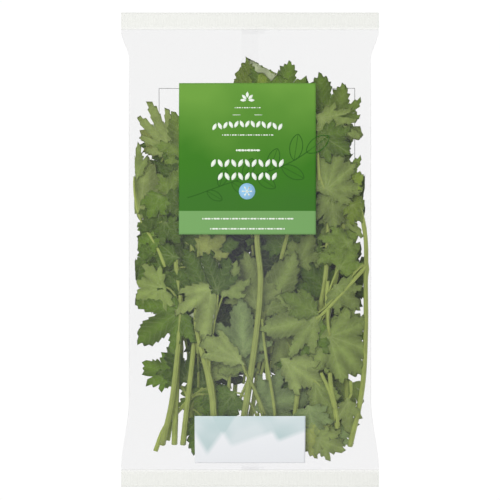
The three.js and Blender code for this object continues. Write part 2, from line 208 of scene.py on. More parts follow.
# -------------------------------- the packet's skins
@dataclass(frozen=True)
class Pillow:
    """The shape of the filled packet: its two skins, and the levels between them."""

    length: float = 276.0
    flat_width: float = 150.0
    seal_depth: float = 10.5
    side_draw_in: float = 4.65  # how far filling the packet pulls each side in
    draw_in_top: float = 17.0  # length over which the sides come in, from the top seal
    draw_in_bottom: float = 40.0
    seal_height: float = 5.0
    side_height: float = 12.0
    front_rise: float = 14.5  # front skin above the side folds
    front_power: float = 2.4  # 2 for a round section, more for a fuller one
    back_drop: float = 13.0
    back_power: float = 3.0
    top_rise: float = 62.0  # length over which the packet fills out, from the top seal
    bottom_rise: float = 45.0
    wall: float = 1.0  # the film and the clearance inside it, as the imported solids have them
    clear: float = 0.55  # how far from either skin the finest waves of a blade stay

    @property
    def seal_inner(self) -> float:
        """How far along Y the inner edge of a seal is."""
        return self.length / 2 - self.seal_depth

    def fill(self, y: Array) -> Array:
        """How full the packet is at y, from 0 at a seal to 1."""
        return swell((self.seal_inner - y) / self.top_rise) * swell((y + self.seal_inner) / self.bottom_rise)

    def half_width(self, y: Array) -> Array:
        """Half the packet's width at y."""
        top, bottom = (self.seal_inner - y) / self.draw_in_top, (y + self.seal_inner) / self.draw_in_bottom
        return self.flat_width / 2 - self.side_draw_in * (smooth(top) * smooth(bottom))

    def fold_height(self, y: Array) -> Array:
        """Height of the side folds at y."""
        return self.seal_height + (self.side_height - self.seal_height) * self.fill(y)

    def front(self, x: Array, y: Array) -> Array:
        """Height of the front skin."""
        k = np.minimum(np.abs(x) / self.half_width(y), 1)
        return self.fold_height(y) + self.front_rise * self.fill(y) * np.sqrt(1 - k**self.front_power)

    def back(self, x: Array, y: Array) -> Array:
        """Height of the back skin, which lies flat where it meets the table.

        Args:
            x: Places across the packet.
            y: Places along the packet.

        Returns:
            The height at each place.
        """
        k = np.minimum(np.abs(x) / self.half_width(y), 1)
        drop = self.back_drop * self.fill(y) * np.sqrt(1 - k**self.back_power)
        return np.maximum(self.fold_height(y) - drop, 0)

    def stretch(self, skin: Skin, x: Array, y: Array) -> Array:
        """How much longer a thickness is along Z than square to a skin.

        Args:
            skin: One of the two skins.
            x: Places across the packet.
            y: Places along the packet.

        Returns:
            The factor at each place.
        """
        step = 0.5
        slope_x = (skin(x + step, y) - skin(x - step, y)) / (2 * step)
        slope_y = (skin(x, y + step) - skin(x, y - step)) / (2 * step)
        return np.sqrt(1 + slope_x**2 + slope_y**2)

    def room(self, margin: Array | float, x: Array, y: Array) -> tuple[Array, Array]:
        """The lowest and the highest that something may lie.

        Args:
            margin: How far square to either skin it stays.
            x: Places across the packet.
            y: Places along the packet.

        Returns:
            The two heights at each place.
        """
        low = self.back(x, y) + margin * self.stretch(self.back, x, y)
        return low, self.front(x, y) - margin * self.stretch(self.front, x, y)

    def between(self, level: float, half_thick: Array | float, x: Array, y: Array) -> Array:
        """Height of the middle of something that lies at a level of the packing.

        Args:
            level: From 0 on the back skin to 1 under the front one.
            half_thick: Half its thickness.
            x: Places across the packet.
            y: Places along the packet.

        Returns:
            The height at each place.
        """
        low, high = self.room(self.wall + half_thick, x, y)
        return low + (high - low) * level

    def inside(self, z: Array, x: Array, y: Array) -> Array:
        """Keeps heights between the two skins.

        Args:
            z: The heights wanted.
            x: Places across the packet.
            y: Places along the packet.

        Returns:
            The heights allowed.
        """
        low, high = self.room(self.clear, x, y)
        return np.clip(z, low, np.maximum(high, low))


# -------------------------------- finishes
# A MapRange's inputs are the value, the range that it comes from and what the ends of that range
# turn into, and a MixShader's are the share and the two shaders. A Mix of colours has the share as
# its input 0 and the two colours as 6 and 7, and gives the mixed one as its output 2.
NOISE_SPAN = (0.3, 0.7)  # nearly all of a noise texture lies between these


@dataclass(frozen=True)
class Finish:
    """One substance and how its surface was made."""

    name: str

    def surface(self, tree: Tree) -> Node:
        """Lays out the nodes of the surface.

        Args:
            tree: The material's tree.

        Returns:
            The shader that they end in.
        """
        raise NotImplementedError

    def build(self) -> bpy.types.Material:
        """Makes the material.

        Returns:
            The material, with its surface linked to its output.
        """
        material = bpy.data.materials.new(self.name)
        material.use_nodes = True
        tree = material.node_tree
        tree.nodes.clear()
        add_node(tree, "OutputMaterial", {"Surface": self.surface(tree)})
        return material


@dataclass(frozen=True)
class ClearFilm(Finish):
    """Oriented polypropylene film, drawn and glossy: nearly clear, with a faint milky haze, on which a sheen
    is painted.
    """

    name: str = "oriented_polypropylene_film"
    haze_and_sheen: float = 0.018  # at the crown of the pillow, where a painted sheen adds to the film's own haze
    sheen_haze_aside: float = 0.004  # near the side folds, where the painted sheen is gone
    sheen_haze_above: float = 0.15  # what is left of it over the top leaves, where the painted sheen is thinned out
    aside: Point = (0.01, 0.062)  # metres from the middle over which it thins out
    above: Point = (0.06, 0.09)  # metres up the packet over which it does
    haze_colour: str = "d4d4f6"
    tint: str = "fafafa"
    gloss: float = 0.02  # share mirrored square on
    gloss_aslant: float = 0.6  # share added at a grazing angle
    gloss_power: float = 5.0  # how late it is added
    gloss_roughness: float = 0.16
    crease_mm: float = 26.0  # length of the soft creases
    crease_height: float = 0.002  # m
    crease_strength: float = 0.35

    def surface(self, tree: Tree) -> Node:
        """Lays out the nodes of the surface.

        Args:
            tree: The material's tree.

        Returns:
            The shader that they end in.
        """
        place = add_node(tree, "TexCoord").outputs["Object"]
        grain = {"Scale": 1 / (self.crease_mm * MM), "Detail": 3.0, "Roughness": 0.45}
        creases = add_node(tree, "TexNoise", {"Vector": place, **grain})
        relief = {"Strength": self.crease_strength, "Distance": self.crease_height}
        bump = add_node(tree, "Bump", {"Height": creases, **relief})
        clear = add_node(tree, "BsdfTransparent", {"Color": linear(self.tint)})
        milky = add_node(tree, "BsdfDiffuse", {"Color": linear(self.haze_colour), "Normal": bump})
        split = add_node(tree, "SeparateXYZ", {"Vector": place})
        aside = add_node(tree, "Math", [split.outputs["X"]], operation="ABSOLUTE")
        # painted sheen: the milky share is strongest at the crown and thinner towards the side folds and
        # over the top leaves, in place of the surround's reflection there
        across = add_node(tree, "MapRange", [aside, *self.aside, self.haze_and_sheen, self.sheen_haze_aside])
        along = add_node(tree, "MapRange", [split.outputs["Y"], *self.above, 1.0, self.sheen_haze_above])
        haze_and_sheen = add_node(tree, "Math", [across, along], operation="MULTIPLY")
        body = add_node(tree, "MixShader", [haze_and_sheen, clear, milky])
        mirror = add_node(tree, "BsdfAnisotropic", {"Roughness": self.gloss_roughness, "Normal": bump})
        facing = add_node(tree, "LayerWeight", {"Blend": 0.5}).outputs["Facing"]
        steep = add_node(tree, "Math", [facing, self.gloss_power], operation="POWER")
        share = add_node(tree, "Math", [steep, self.gloss_aslant, self.gloss], operation="MULTIPLY_ADD")
        return add_node(tree, "MixShader", [share, body, mirror])


@dataclass(frozen=True)
class CrimpedSeal(Finish):
    """Two plies of the film welded under a ribbed jaw: whiter than the film, with fine ribs."""

    name: str = "welded_polypropylene_seal"
    whiteness: float = 0.42
    unevenness: float = 0.03  # of the whiteness, from rib to rib
    colour: str = "edeeec"
    tint: str = "f7f7f4"  # of the light that goes through; the film adds its own where the two meet
    rib_mm: float = 1.1
    rib_draw: float = 0.04  # how little the ribs change along the packet
    inner_edge: float = 0.1275  # m along Y
    fade: float = 0.0025  # m over which the weld begins

    def surface(self, tree: Tree) -> Node:
        """Lays out the nodes of the surface.

        Args:
            tree: The material's tree.

        Returns:
            The shader that they end in.
        """
        place = add_node(tree, "TexCoord").outputs["Object"]
        drawn = add_node(tree, "Mapping", {"Vector": place, "Scale": (1.0, self.rib_draw, self.rib_draw)})
        ribs = add_node(tree, "TexNoise", {"Vector": drawn, "Scale": 1 / (self.rib_mm * MM)})
        low, high = self.whiteness - self.unevenness, self.whiteness + self.unevenness
        share = add_node(tree, "MapRange", [ribs, *NOISE_SPAN, low, high])
        split = add_node(tree, "SeparateXYZ", {"Vector": place})
        along = add_node(tree, "Math", [split.outputs["Y"]], operation="ABSOLUTE")
        inner = add_node(tree, "MapRange", [along, self.inner_edge, self.inner_edge + self.fade, 0.0, 1.0])
        welded = add_node(tree, "Math", [share, inner], operation="MULTIPLY")
        colours = {6: linear("ffffff"), 7: linear(self.tint)}
        tint = add_node(tree, "Mix", {0: inner, **colours}, data_type="RGBA").outputs[2]
        clear = add_node(tree, "BsdfTransparent", {"Color": tint})
        milky = add_node(tree, "BsdfDiffuse", {"Color": linear(self.colour)})
        return add_node(tree, "MixShader", [welded, clear, milky])


@dataclass(frozen=True)
class LabelInk(Finish):
    """Gravure ink on the film, satin: fresh green at the top, deeper below, and a lighter band."""

    name: str = "gravure_green_ink"
    top: str = "6a9a3e"
    middle: str = "3b7620"
    low: str = "3b7027"
    low_share: float = 0.2  # where up the label the lowest colour ends
    middle_share: float = 0.5
    band: str = "73a060"
    band_top: float = 22.3
    bottom: float = 9.0
    height: float = 87.5
    cloud_mm: float = 34.0
    cloudiness: float = 0.5  # how far the clouds shift the colours, as a share of the height

    def surface(self, tree: Tree) -> Node:
        """Lays out the nodes of the surface.

        Args:
            tree: The material's tree.

        Returns:
            The shader that they end in.
        """
        place = add_node(tree, "TexCoord").outputs["Object"]
        y = add_node(tree, "SeparateXYZ", {"Vector": place}).outputs["Y"]
        grain = {"Scale": 1 / (self.cloud_mm * MM), "Detail": 2.0}
        cloud = add_node(tree, "TexNoise", {"Vector": place, **grain})
        up = add_node(tree, "MapRange", [y, self.bottom * MM, (self.bottom + self.height) * MM, 0.0, 1.0])
        centred = [cloud, self.cloudiness, -self.cloudiness / 2]
        shifted = add_node(tree, "Math", centred, operation="MULTIPLY_ADD")
        share = add_node(tree, "Math", [up, shifted], operation="ADD")
        ramp = add_node(tree, "ValToRGB", {"Fac": share})
        stops = ramp.color_ramp.elements
        stops[0].position = self.low_share
        stops[0].color = linear(self.low)
        stops[1].color = linear(self.top)
        stops.new(self.middle_share).color = linear(self.middle)
        in_band = add_node(tree, "Math", [y, self.band_top * MM], operation="LESS_THAN")
        colours = {6: ramp.outputs["Color"], 7: linear(self.band)}
        colour = add_node(tree, "Mix", {0: in_band, **colours}, data_type="RGBA").outputs[2]
        satin = {"Roughness": 0.5, "Specular IOR Level": 0.15}
        return add_node(tree, "BsdfPrincipled", {"Base Color": colour, **satin})


@dataclass(frozen=True)
class PanelInk(Finish):
    """White ink for writing on, satin, with soft pale-blue wedges printed in it."""

    name: str = "white_writing_ink"
    white: str = "edeff2"
    blue: str = "bed1d2"
    # each wedge: the direction that it spreads to in degrees, and where its edge is along that, mm
    wedges: tuple[tuple[Point, ...], ...] = (
        ((144.4, -50.1), (29.1, -80.8)),
        ((109.6, -104.9), (29.0, -66.0), (209.0, 38.0)),
        ((111.5, -110.3), (29.0, -40.8)),
    )
    softness: float = 3.0  # mm over which an edge of a wedge fades
    patch_mm: float = 20.0
    patches: Point = (0.35, 0.65)  # of the noise, from the faintest blue to the strongest
    least: float = 0.5  # how strong the blue is where it is faintest

    def surface(self, tree: Tree) -> Node:
        """Lays out the nodes of the surface.

        Args:
            tree: The material's tree.

        Returns:
            The shader that they end in.
        """
        place = add_node(tree, "TexCoord").outputs["Object"]
        grain = {"Scale": 1 / (self.patch_mm * MM), "Detail": 1.0}
        noise = add_node(tree, "TexNoise", {"Vector": place, **grain})
        total: Any = 0.0
        for sides in self.wedges:
            wedge: Any = 1.0
            for turn, start in sides:
                spread = [place, (*toward(turn), 0.0)]
                reach = add_node(tree, "VectorMath", spread, operation="DOT_PRODUCT").outputs["Value"]
                ends = [start * MM, (start + self.softness) * MM]
                inside = add_node(tree, "MapRange", [reach, *ends, 0.0, 1.0])
                wedge = add_node(tree, "Math", [inside, wedge], operation="MULTIPLY")
            total = add_node(tree, "Math", [wedge, total], operation="ADD")
        clouds = add_node(tree, "MapRange", [noise, *self.patches, self.least, 1.0])
        share = add_node(tree, "Math", [total, clouds], operation="MULTIPLY")
        colours = {6: linear(self.white), 7: linear(self.blue)}
        colour = add_node(tree, "Mix", {0: share, **colours}, data_type="RGBA").outputs[2]
        satin = {"Roughness": 0.4, "Specular IOR Level": 0.3}
        return add_node(tree, "BsdfPrincipled", {"Base Color": colour, **satin})


@dataclass(frozen=True)
class PlainInk(Finish):
    """One solid printing ink on the film or the label, satin, with a faint grain."""

    colour: str
    grain_mm: float = 1.111
    grain: float = 0.12  # how much of the grain shows

    def surface(self, tree: Tree) -> Node:
        """Lays out the nodes of the surface.

        Args:
            tree: The material's tree.

        Returns:
            The shader that they end in.
        """
        place = add_node(tree, "TexCoord").outputs["Object"]
        grain = {"Scale": 1 / (self.grain_mm * MM), "Detail": 2.0}
        noise = add_node(tree, "TexNoise", {"Vector": place, **grain})
        colours = {6: linear(self.colour), 7: noise.outputs["Color"]}
        mixed = add_node(tree, "Mix", {0: self.grain, **colours}, data_type="RGBA", blend_type="MULTIPLY")
        satin = {"Roughness": 0.45, "Specular IOR Level": 0.3}
        return add_node(tree, "BsdfPrincipled", {"Base Color": mixed.outputs[2], **satin})


@dataclass(frozen=True)
class LeafSkin(Finish):
    """Fresh parsley leaf: soft satin, with pale veins sunk into the upper side, painted light along its main
    veins and painted shade between them, and blotches that are partly its own tone and partly painted shade.
    """

    pale: float  # how far the colour goes towards the pale one
    pale_colour: str
    vein_share: float  # how strong the veins are
    vein_colour: str
    roughness: float
    vein_width: float = 0.55  # mm, half the width of a main vein, drawn coarser than real to show
    vein_tint: float = 0.6  # how far a vein goes towards its own colour
    vein_dip: float = 0.35  # its depth against the height of the net
    side_vein_pitch: float = 2.1  # mm between side veins
    side_vein_slant: float = 1.25  # mm that they run forwards for each mm outwards
    side_vein_width: float = 0.7
    side_vein_share: float = 0.5
    cell_mm: float = 0.7  # size of the fine net between them
    cell_height: float = 0.0003  # m
    # blotches of brightness: partly the leaf's own uneven tone, partly painted shade of the folds of its
    # lobes
    mottle_and_shade_mm: float = 7.0
    mottle_and_shade: Point = (0.8, 1.2)  # its darkest and its brightest
    uneven_height: float = 0.003  # m, of the soft dents that follow the same blotches
    relief_shade_width: float = 4.5  # mm from a main vein to the painted shade of the valley beside it
    # painted light on the ridge along a main vein, and painted shade in the valley beside it, as factors on
    # the colour
    painted_ridge_light: float = 1.18
    painted_valley_shade: float = 0.66
    translucency: float = 0.12  # how much of its light comes through from behind
    through_colour: str = "b9cf3a"
    through_tint: float = 0.55

    def surface(self, tree: Tree) -> Node:
        """Lays out the nodes of the surface.

        Args:
            tree: The material's tree.

        Returns:
            The shader that they end in.
        """
        place = add_node(tree, "TexCoord").outputs["Object"]
        tone = add_node(tree, "Attribute", attribute_name="tone").outputs["Color"]
        vein = add_node(tree, "Attribute", attribute_name="vein").outputs["Vector"]
        split = add_node(tree, "SeparateXYZ", {"Vector": vein})
        across, along = split.outputs["X"], split.outputs["Y"]
        fade = [across, 0.0, self.vein_width, 1.0, 0.0]
        main = add_node(tree, "MapRange", fade, interpolation_type="SMOOTHSTEP")
        chevron = add_node(tree, "Math", [across, -self.side_vein_slant, along], operation="MULTIPLY_ADD")
        pitch = add_node(tree, "Math", [chevron, self.side_vein_pitch], operation="PINGPONG")
        side = add_node(tree, "MapRange", [pitch, 0.0, self.side_vein_width, self.side_vein_share, 0.0])
        lines = add_node(tree, "Math", [main, side], operation="MAXIMUM")
        grain = {"Scale": 1 / (self.mottle_and_shade_mm * MM), "Detail": 5.0, "Roughness": 0.65}
        mottle_and_shade = add_node(tree, "TexNoise", {"Vector": place, **grain})
        net = {"Vector": place, "Scale": 1 / (self.cell_mm * MM)}
        cells = add_node(tree, "TexVoronoi", net, feature="F1")
        # the blotches: partly the leaf's own uneven tone, partly painted shade of its folds
        cloudy = add_node(tree, "MapRange", [mottle_and_shade, *NOISE_SPAN, *self.mottle_and_shade])
        # painted light and shade of the relief: brighter along the main veins, darker in the valleys between
        # them
        relief = add_node(tree, "MapRange", [across, 0.0, self.relief_shade_width, self.painted_ridge_light, self.painted_valley_shade])
        bright = add_node(tree, "Math", [cloudy, relief], operation="MULTIPLY")
        colours = {6: tone, 7: linear(self.pale_colour)}
        paled = add_node(tree, "Mix", {0: self.pale, **colours}, data_type="RGBA").outputs[2]
        # the leaf's colour, with its painted light and shade
        mottled_and_shaded = add_node(tree, "VectorMath", {0: paled, "Scale": bright}, operation="SCALE").outputs[0]
        veined = add_node(tree, "Math", [lines, self.vein_share], operation="MULTIPLY")
        colours = {6: mottled_and_shaded, 7: linear(self.vein_colour)}
        vein_tone = add_node(tree, "Mix", {0: self.vein_tint, **colours}, data_type="RGBA").outputs[2]
        colour = add_node(tree, "Mix", {0: veined, 6: mottled_and_shaded, 7: vein_tone}, data_type="RGBA").outputs[2]
        height = add_node(tree, "Math", [lines, -self.vein_dip, cells], operation="MULTIPLY_ADD")
        uneven = add_node(tree, "Bump", {"Height": mottle_and_shade, "Strength": 0.7, "Distance": self.uneven_height})
        fine = {"Height": height, "Strength": 0.5, "Distance": self.cell_height, "Normal": uneven}
        bump = add_node(tree, "Bump", fine)
        satin = {"Roughness": self.roughness, "Specular IOR Level": 0.35, "Normal": bump}
        shader = add_node(tree, "BsdfPrincipled", {"Base Color": colour, **satin})
        colours = {6: mottled_and_shaded, 7: linear(self.through_colour)}
        through = add_node(tree, "Mix", {0: self.through_tint, **colours}, data_type="RGBA").outputs[2]
        glow = add_node(tree, "BsdfTranslucent", {"Color": through, "Normal": uneven})
        return add_node(tree, "MixShader", [self.translucency, shader, glow])


@dataclass(frozen=True)
class StemSkin(Finish):
    """Fresh parsley stem: smooth, juicy and pale, with darker grooves along it."""

    name: str = "parsley_stem"
    groove_colour: str = "8fa050"
    grooves: int = 7
    groove_share: float = 0.55  # how far a groove goes towards its colour
    groove_height: float = 0.0003  # m
    streak_mm: float = 6.25
    streaks: Point = (0.86, 1.12)  # the darkest and the brightest
    roughness: float = 0.38

    def surface(self, tree: Tree) -> Node:
        """Lays out the nodes of the surface.

        Args:
            tree: The material's tree.

        Returns:
            The shader that they end in.
        """
        place = add_node(tree, "TexCoord").outputs["Object"]
        tone = add_node(tree, "Attribute", attribute_name="tone").outputs["Color"]
        vein = add_node(tree, "Attribute", attribute_name="vein").outputs["Vector"]
        turn = add_node(tree, "SeparateXYZ", {"Vector": vein}).outputs["X"]
        turned = add_node(tree, "Math", [turn, math.tau * self.grooves], operation="MULTIPLY")
        wave = add_node(tree, "Math", [turned], operation="SINE")
        groove = add_node(tree, "MapRange", [wave, 0.2, 1.0, 0.0, self.groove_share])
        grain = {"Scale": 1 / (self.streak_mm * MM), "Detail": 3.0}
        streak = add_node(tree, "TexNoise", {"Vector": place, **grain})
        bright = add_node(tree, "MapRange", [streak, *NOISE_SPAN, *self.streaks])
        shaded = add_node(tree, "VectorMath", {0: tone, "Scale": bright}, operation="SCALE").outputs[0]
        colours = {6: shaded, 7: linear(self.groove_colour)}
        colour = add_node(tree, "Mix", {0: groove, **colours}, data_type="RGBA").outputs[2]
        bump = add_node(tree, "Bump", {"Height": wave, "Strength": 0.3, "Distance": -self.groove_height})
        juicy = {"Roughness": self.roughness, "Specular IOR Level": 0.4, "Normal": bump}
        return add_node(tree, "BsdfPrincipled", {"Base Color": colour, **juicy})


@dataclass(frozen=True)
class LightTable(Finish):
    """Opal acrylic table, lit evenly from below, so that nothing on it throws a shadow."""

    name: str = "opal_acrylic_light_table"
    colour: str = "ffffff"
    glow: float = 1.02

    def surface(self, tree: Tree) -> Node:
        """The glow itself."""
        return add_node(tree, "Emission", {"Color": linear(self.colour), "Strength": self.glow})


# -------------------------------- leaves
class Form(Enum):
    """Half of a leaf's outline: the angle from its heading in degrees, and the share of its length."""

    FAN = ((112, 0.13), (74, 0.6), (59, 0.38), (43, 0.88), (26, 0.38), (13, 0.8))
    CUT = ((115, 0.14), (84, 0.52), (68, 0.3), (50, 0.8), (32, 0.36), (15, 0.74))
    SPREAD = ((125, 0.2), (100, 0.66), (88, 0.56), (68, 0.9), (48, 0.54), (28, 0.9), (14, 0.8))
    ROUND = ((110, 0.16), (76, 0.54), (60, 0.44), (42, 0.84), (27, 0.62), (15, 0.84))
    LANCE = ((100, 0.12), (46, 0.42), (32, 0.68), (20, 0.56), (10, 0.84))
    LONG = ((105, 0.12), (64, 0.4), (52, 0.2), (38, 0.66), (28, 0.28), (19, 0.84), (9, 0.42))
    BROAD = ((110, 0.16), (82, 0.46), (62, 0.58), (48, 0.66), (34, 0.9), (22, 0.88), (10, 1.0))
    WEDGE = ((100, 0.05), (42, 0.18), (25, 0.5), (22, 0.82), (14, 0.68), (9, 0.94))


class Tone(Enum):
    """Colours of leaves, from deep green to the yellow of the youngest. DEEP and DARK are partly painted
    shade: the leaves deep in the packing get them, darker than their own green, in place of the shade among
    them.
    """

    DEEP = "3f5312"
    DARK = "54701c"
    GREEN = "658423"
    MID = "7a9438"
    SOFT = "8b9f50"
    PALE = "9db05f"
    BLUISH = "8ba160"
    YELLOW = "9fac56"
    FRESH = "869f33"


class Bend(Enum):
    """How a blade is held: flat and waved, or with its tip folded over or its left side under.

    The value is the direction of the folded part from the leaf's heading in degrees, the fold's
    distance from the hub as a share of the leaf's length, and 1 for over or -1 for under.
    """

    FLAT = None
    TIP_OVER = (0.0, 0.75, 1)
    LEFT_UNDER = (90.0, 0.14, -1)


class Part(IntEnum):
    """The parts of a sprig that have their own finish, by the number of their material."""

    UPPER = 0
    UNDER = 1
    STEM = 2


@dataclass(frozen=True)
class Leaf:
    """One leaf: its outline, its hub and tip in plan, and where its stalk leaves the stem."""

    form: Form
    hub: Point
    tip: Point
    joint: float
    tone: Tone
    bend: Bend = Bend.FLAT

    BASE_REACH = 0.16  # of the notch at its base, as a share of its length
    REACH_SPREAD = 0.08  # how much its teeth's reach varies
    ANGLE_SPREAD = 2.0  # and their angle, in degrees

    @property
    def heading(self) -> float:
        """The way from the hub to the tip, in radians."""
        return math.atan2(self.tip[1] - self.hub[1], self.tip[0] - self.hub[0])

    @property
    def length(self) -> float:
        """From the hub to the tip."""
        return math.hypot(self.tip[0] - self.hub[0], self.tip[1] - self.hub[1])

    def outline(self, seed: int) -> Array:
        """The blade's teeth and notches in its own plane.

        Args:
            seed: Sets how the teeth vary.

        Returns:
            Points (along, across) from the base round to the base again.
        """
        draw = draws(seed)

        def side(sign: int) -> list[Point]:
            """One half of the outline.

            Args:
                sign: -1 for the right half, 1 for the left one.

            Returns:
                The angle and reach of its points, from the base.
            """
            rows = []
            for angle, reach in self.form.value:
                turned = sign * (angle + self.ANGLE_SPREAD * (2 * draw() - 1))
                rows.append((turned, reach * (1 + self.REACH_SPREAD * (2 * draw() - 1))))
            return rows

        right = side(-1)
        left = side(1)[::-1]
        polar = np.array([(-180, self.BASE_REACH), *right, (0, 1), *left])
        angles, reaches = np.radians(polar[:, 0]), polar[:, 1] * self.length
        return np.stack([reaches * np.cos(angles), reaches * np.sin(angles)], axis=1)


@dataclass(frozen=True)
class Detail:
    """How finely blades and stems are meshed."""

    per_tooth: int  # points along one small tooth
    rings: int  # rows from the rim of a blade to its hub, on each side
    stem_sides: int
    stem_step: float  # mm


FINE = Detail(per_tooth=5, rings=7, stem_sides=14, stem_step=4.0)
COARSE = Detail(per_tooth=3, rings=4, stem_sides=8, stem_step=8.0)


@functools.cache
def blank_ball(around: int, along: int) -> tuple[bpy.types.Mesh, Array, Array]:
    """A closed round mesh of a given fineness, made once and copied for each blade and stem.

    Args:
        around: Facets round it.
        along: Facets from pole to pole.

    Returns:
        The mesh, and for each vertex the number round it and the row from the first pole.
    """
    mesh = bmesh.new()
    bmesh.ops.create_uvsphere(mesh, u_segments=around, v_segments=along, radius=1)
    co = np.array([v.co for v in mesh.verts])
    turn = np.rint(np.arctan2(co[:, 1], co[:, 0]) / math.tau * around).astype(int) % around
    row = np.rint(np.arccos(np.clip(co[:, 2], -1, 1)) / math.pi * along).astype(int)
    data = bpy.data.meshes.new("blank_ball")
    mesh.to_mesh(data)
    mesh.free()
    return data, turn, row


@dataclass
class SprigMesh:
    """Gathers the stem, stalks and blades of one sprig in one mesh."""

    pillow: Pillow
    detail: Detail
    mesh: Mesh = field(default_factory=bmesh.new)
    tooth: float = 4.8  # width of one small tooth on a leaf's edge
    tooth_depth: float = 0.55  # its depth as a share of its width
    tooth_lean: float = 0.55  # how far it leans towards the tip of its lobe
    tooth_curve: float = 0.72  # below 1 for bulging teeth, above 1 for thorns
    edge_swell: float = 0.03  # how far the edge bulges between a tooth and a notch, as a share
    evening: float = 0.03  # how far the edge's points are spread evenly round the hub
    rim_detail: float = 1.5  # above 1, more of the rows are near the rim
    blade: float = 0.26  # thickness of a blade
    vein_end: float = 0.96  # how far towards its tooth a main vein runs
    cup: Point = (0.7, 2.4)  # rise of the rim, and how much further down some rims are
    lobe_wave: Point = (0.5, 0.8)  # height of the waves from lobe to lobe, and how much it varies
    lobe_waves: int = 3
    ripple: float = 0.4  # height of the small waves near the rim
    ripples: int = 11
    quilt: float = 0.32  # height of the blade between its veins
    quilt_width: float = 2.0  # mm from a vein over which it rises
    tint: Point = (0.74, 0.28)  # the least brightness of a leaf, and how much more some have
    fold_radius: float = 0.9
    edge_room: float = 3.2  # how far blades stay inside the side folds
    edge_give: float = 7.0  # over what width they are pressed in there
    ribs: int = 5  # round a stem
    rib_height: float = 0.06  # as a share of its radius
    cut_colour: str = "c3cd8f"

    WAVE_SEED = 7  # added to a leaf's seed for its waves

    def __post_init__(self) -> None:
        """Adds the layers that the finishes read."""
        self.tone = self.mesh.verts.layers.float_color.new("tone")
        self.vein = self.mesh.verts.layers.float_vector.new("vein")

    def ball(self, around: int, along: int) -> tuple[list, Array, Array]:
        """Adds a closed round mesh to be shaped, from pole to pole.

        Args:
            around: Facets round it.
            along: Facets from pole to pole.

        Returns:
            Its vertices, and for each the number round it and the row from the first pole.
        """
        data, turn, row = blank_ball(around, along)
        first = len(self.mesh.verts)
        self.mesh.from_mesh(data)
        self.mesh.verts.ensure_lookup_table()
        return self.mesh.verts[first:], turn, row

    def rim(self, outline: Array) -> Array:
        """Draws the small round teeth between the points of an outline.

        Args:
            outline: The leaf's teeth and notches.

        Returns:
            Points round the finished edge.
        """
        points = []
        last = len(outline) - 1
        for i, start in enumerate(outline):
            end = outline[(i + 1) % len(outline)]
            span = end - start
            reach = max(float(np.hypot(*span)), 1e-6)
            rising = float(np.hypot(*end)) > float(np.hypot(*start))
            teeth = max(round(reach / self.tooth - 0.5), 0) + 0.5
            share = np.arange(round(teeth * self.detail.per_tooth) + 1)
            share = share[:-1] / max(share[-1], 1)
            phase = teeth * share + (0.0 if rising else 0.5)
            way = span / reach
            out = np.array([way[1], -way[0]])
            lean = out + (self.tooth_lean if rising else -self.tooth_lean) * way
            depth = 0.0 if i in (0, last) else self.tooth_depth * min(reach / teeth, self.tooth)
            bulge = self.edge_swell * reach * np.sin(math.pi * share)
            tooth = depth * (1 - np.abs(2 * (phase % 1.0) - 1)) ** self.tooth_curve
            points.append(start + share[:, None] * span + bulge[:, None] * out + tooth[:, None] * lean)
        return self.in_order(np.concatenate(points))

    def in_order(self, rim: Array) -> Array:
        """Keeps the points of an edge in order round the hub, so that the blade doesn't overlap itself.

        Args:
            rim: Points round the edge.

        Returns:
            The points, moved round the hub where they were out of order.
        """
        reach = np.hypot(rim[:, 0], rim[:, 1])
        angle = np.unwrap(np.arctan2(rim[:, 1], rim[:, 0]))
        angle -= math.tau * round((angle[0] + math.pi) / math.tau)
        ahead = np.maximum.accumulate(angle)
        behind = np.minimum.accumulate(angle[::-1])[::-1]
        even = np.linspace(-math.pi, math.pi, len(rim), endpoint=False)
        angle = (1 - self.evening) * (ahead + behind) / 2 + self.evening * even
        return np.stack([reach * np.cos(angle), reach * np.sin(angle)], axis=1)

    def nearest_vein(self, plan: Array, outline: Array) -> tuple[Array, Array]:
        """Finds the nearest of the main veins, which run from the hub to the teeth.

        Args:
            plan: Points in the leaf's plane.
            outline: The leaf's teeth and notches.

        Returns:
            The distance across to the vein and the distance along it, for each point.
        """
        reach = np.hypot(outline[:, 0], outline[:, 1])
        is_tip = (reach > np.roll(reach, 1)) & (reach > np.roll(reach, -1))
        tips = outline[is_tip]
        length2 = (tips**2).sum(1)
        share = np.clip(plan @ tips.T / length2, 0, self.vein_end)
        gaps = np.linalg.norm(plan[:, None, :] - share[:, :, None] * tips[None], axis=2)
        best = gaps.argmin(1)
        rows = np.arange(len(plan))
        return gaps[rows, best], share[rows, best] * np.sqrt(length2[best])

    def waves(self, plan: Array, length: float, across: Array, draw: Callable[[], float]) -> Array:
        """How a blade rises and falls about the level that it lies on.

        Args:
            plan: Points in the leaf's plane.
            length: The leaf's length.
            across: Distance from the nearest main vein.
            draw: Seeded draws.

        Returns:
            The rise at each point.
        """
        r = np.hypot(plan[:, 0], plan[:, 1]) / length
        angle = np.arctan2(plan[:, 1], plan[:, 0])
        cup = (self.cup[0] - self.cup[1] * draw()) * r**2
        high = self.lobe_wave[0] + self.lobe_wave[1] * draw()
        lobes = high * r**2 * np.sin(self.lobe_waves * angle + math.tau * draw())
        ripple = self.ripple * r**4 * np.sin(self.ripples * angle + math.tau * draw())
        lean = r * ((2 * draw() - 1) * np.cos(angle) + (2 * draw() - 1) * np.sin(angle))
        quilt = self.quilt * (1 - np.exp(-((across / self.quilt_width) ** 2))) * np.clip(r * 3, 0, 1)
        return cup + lobes + ripple + lean + quilt

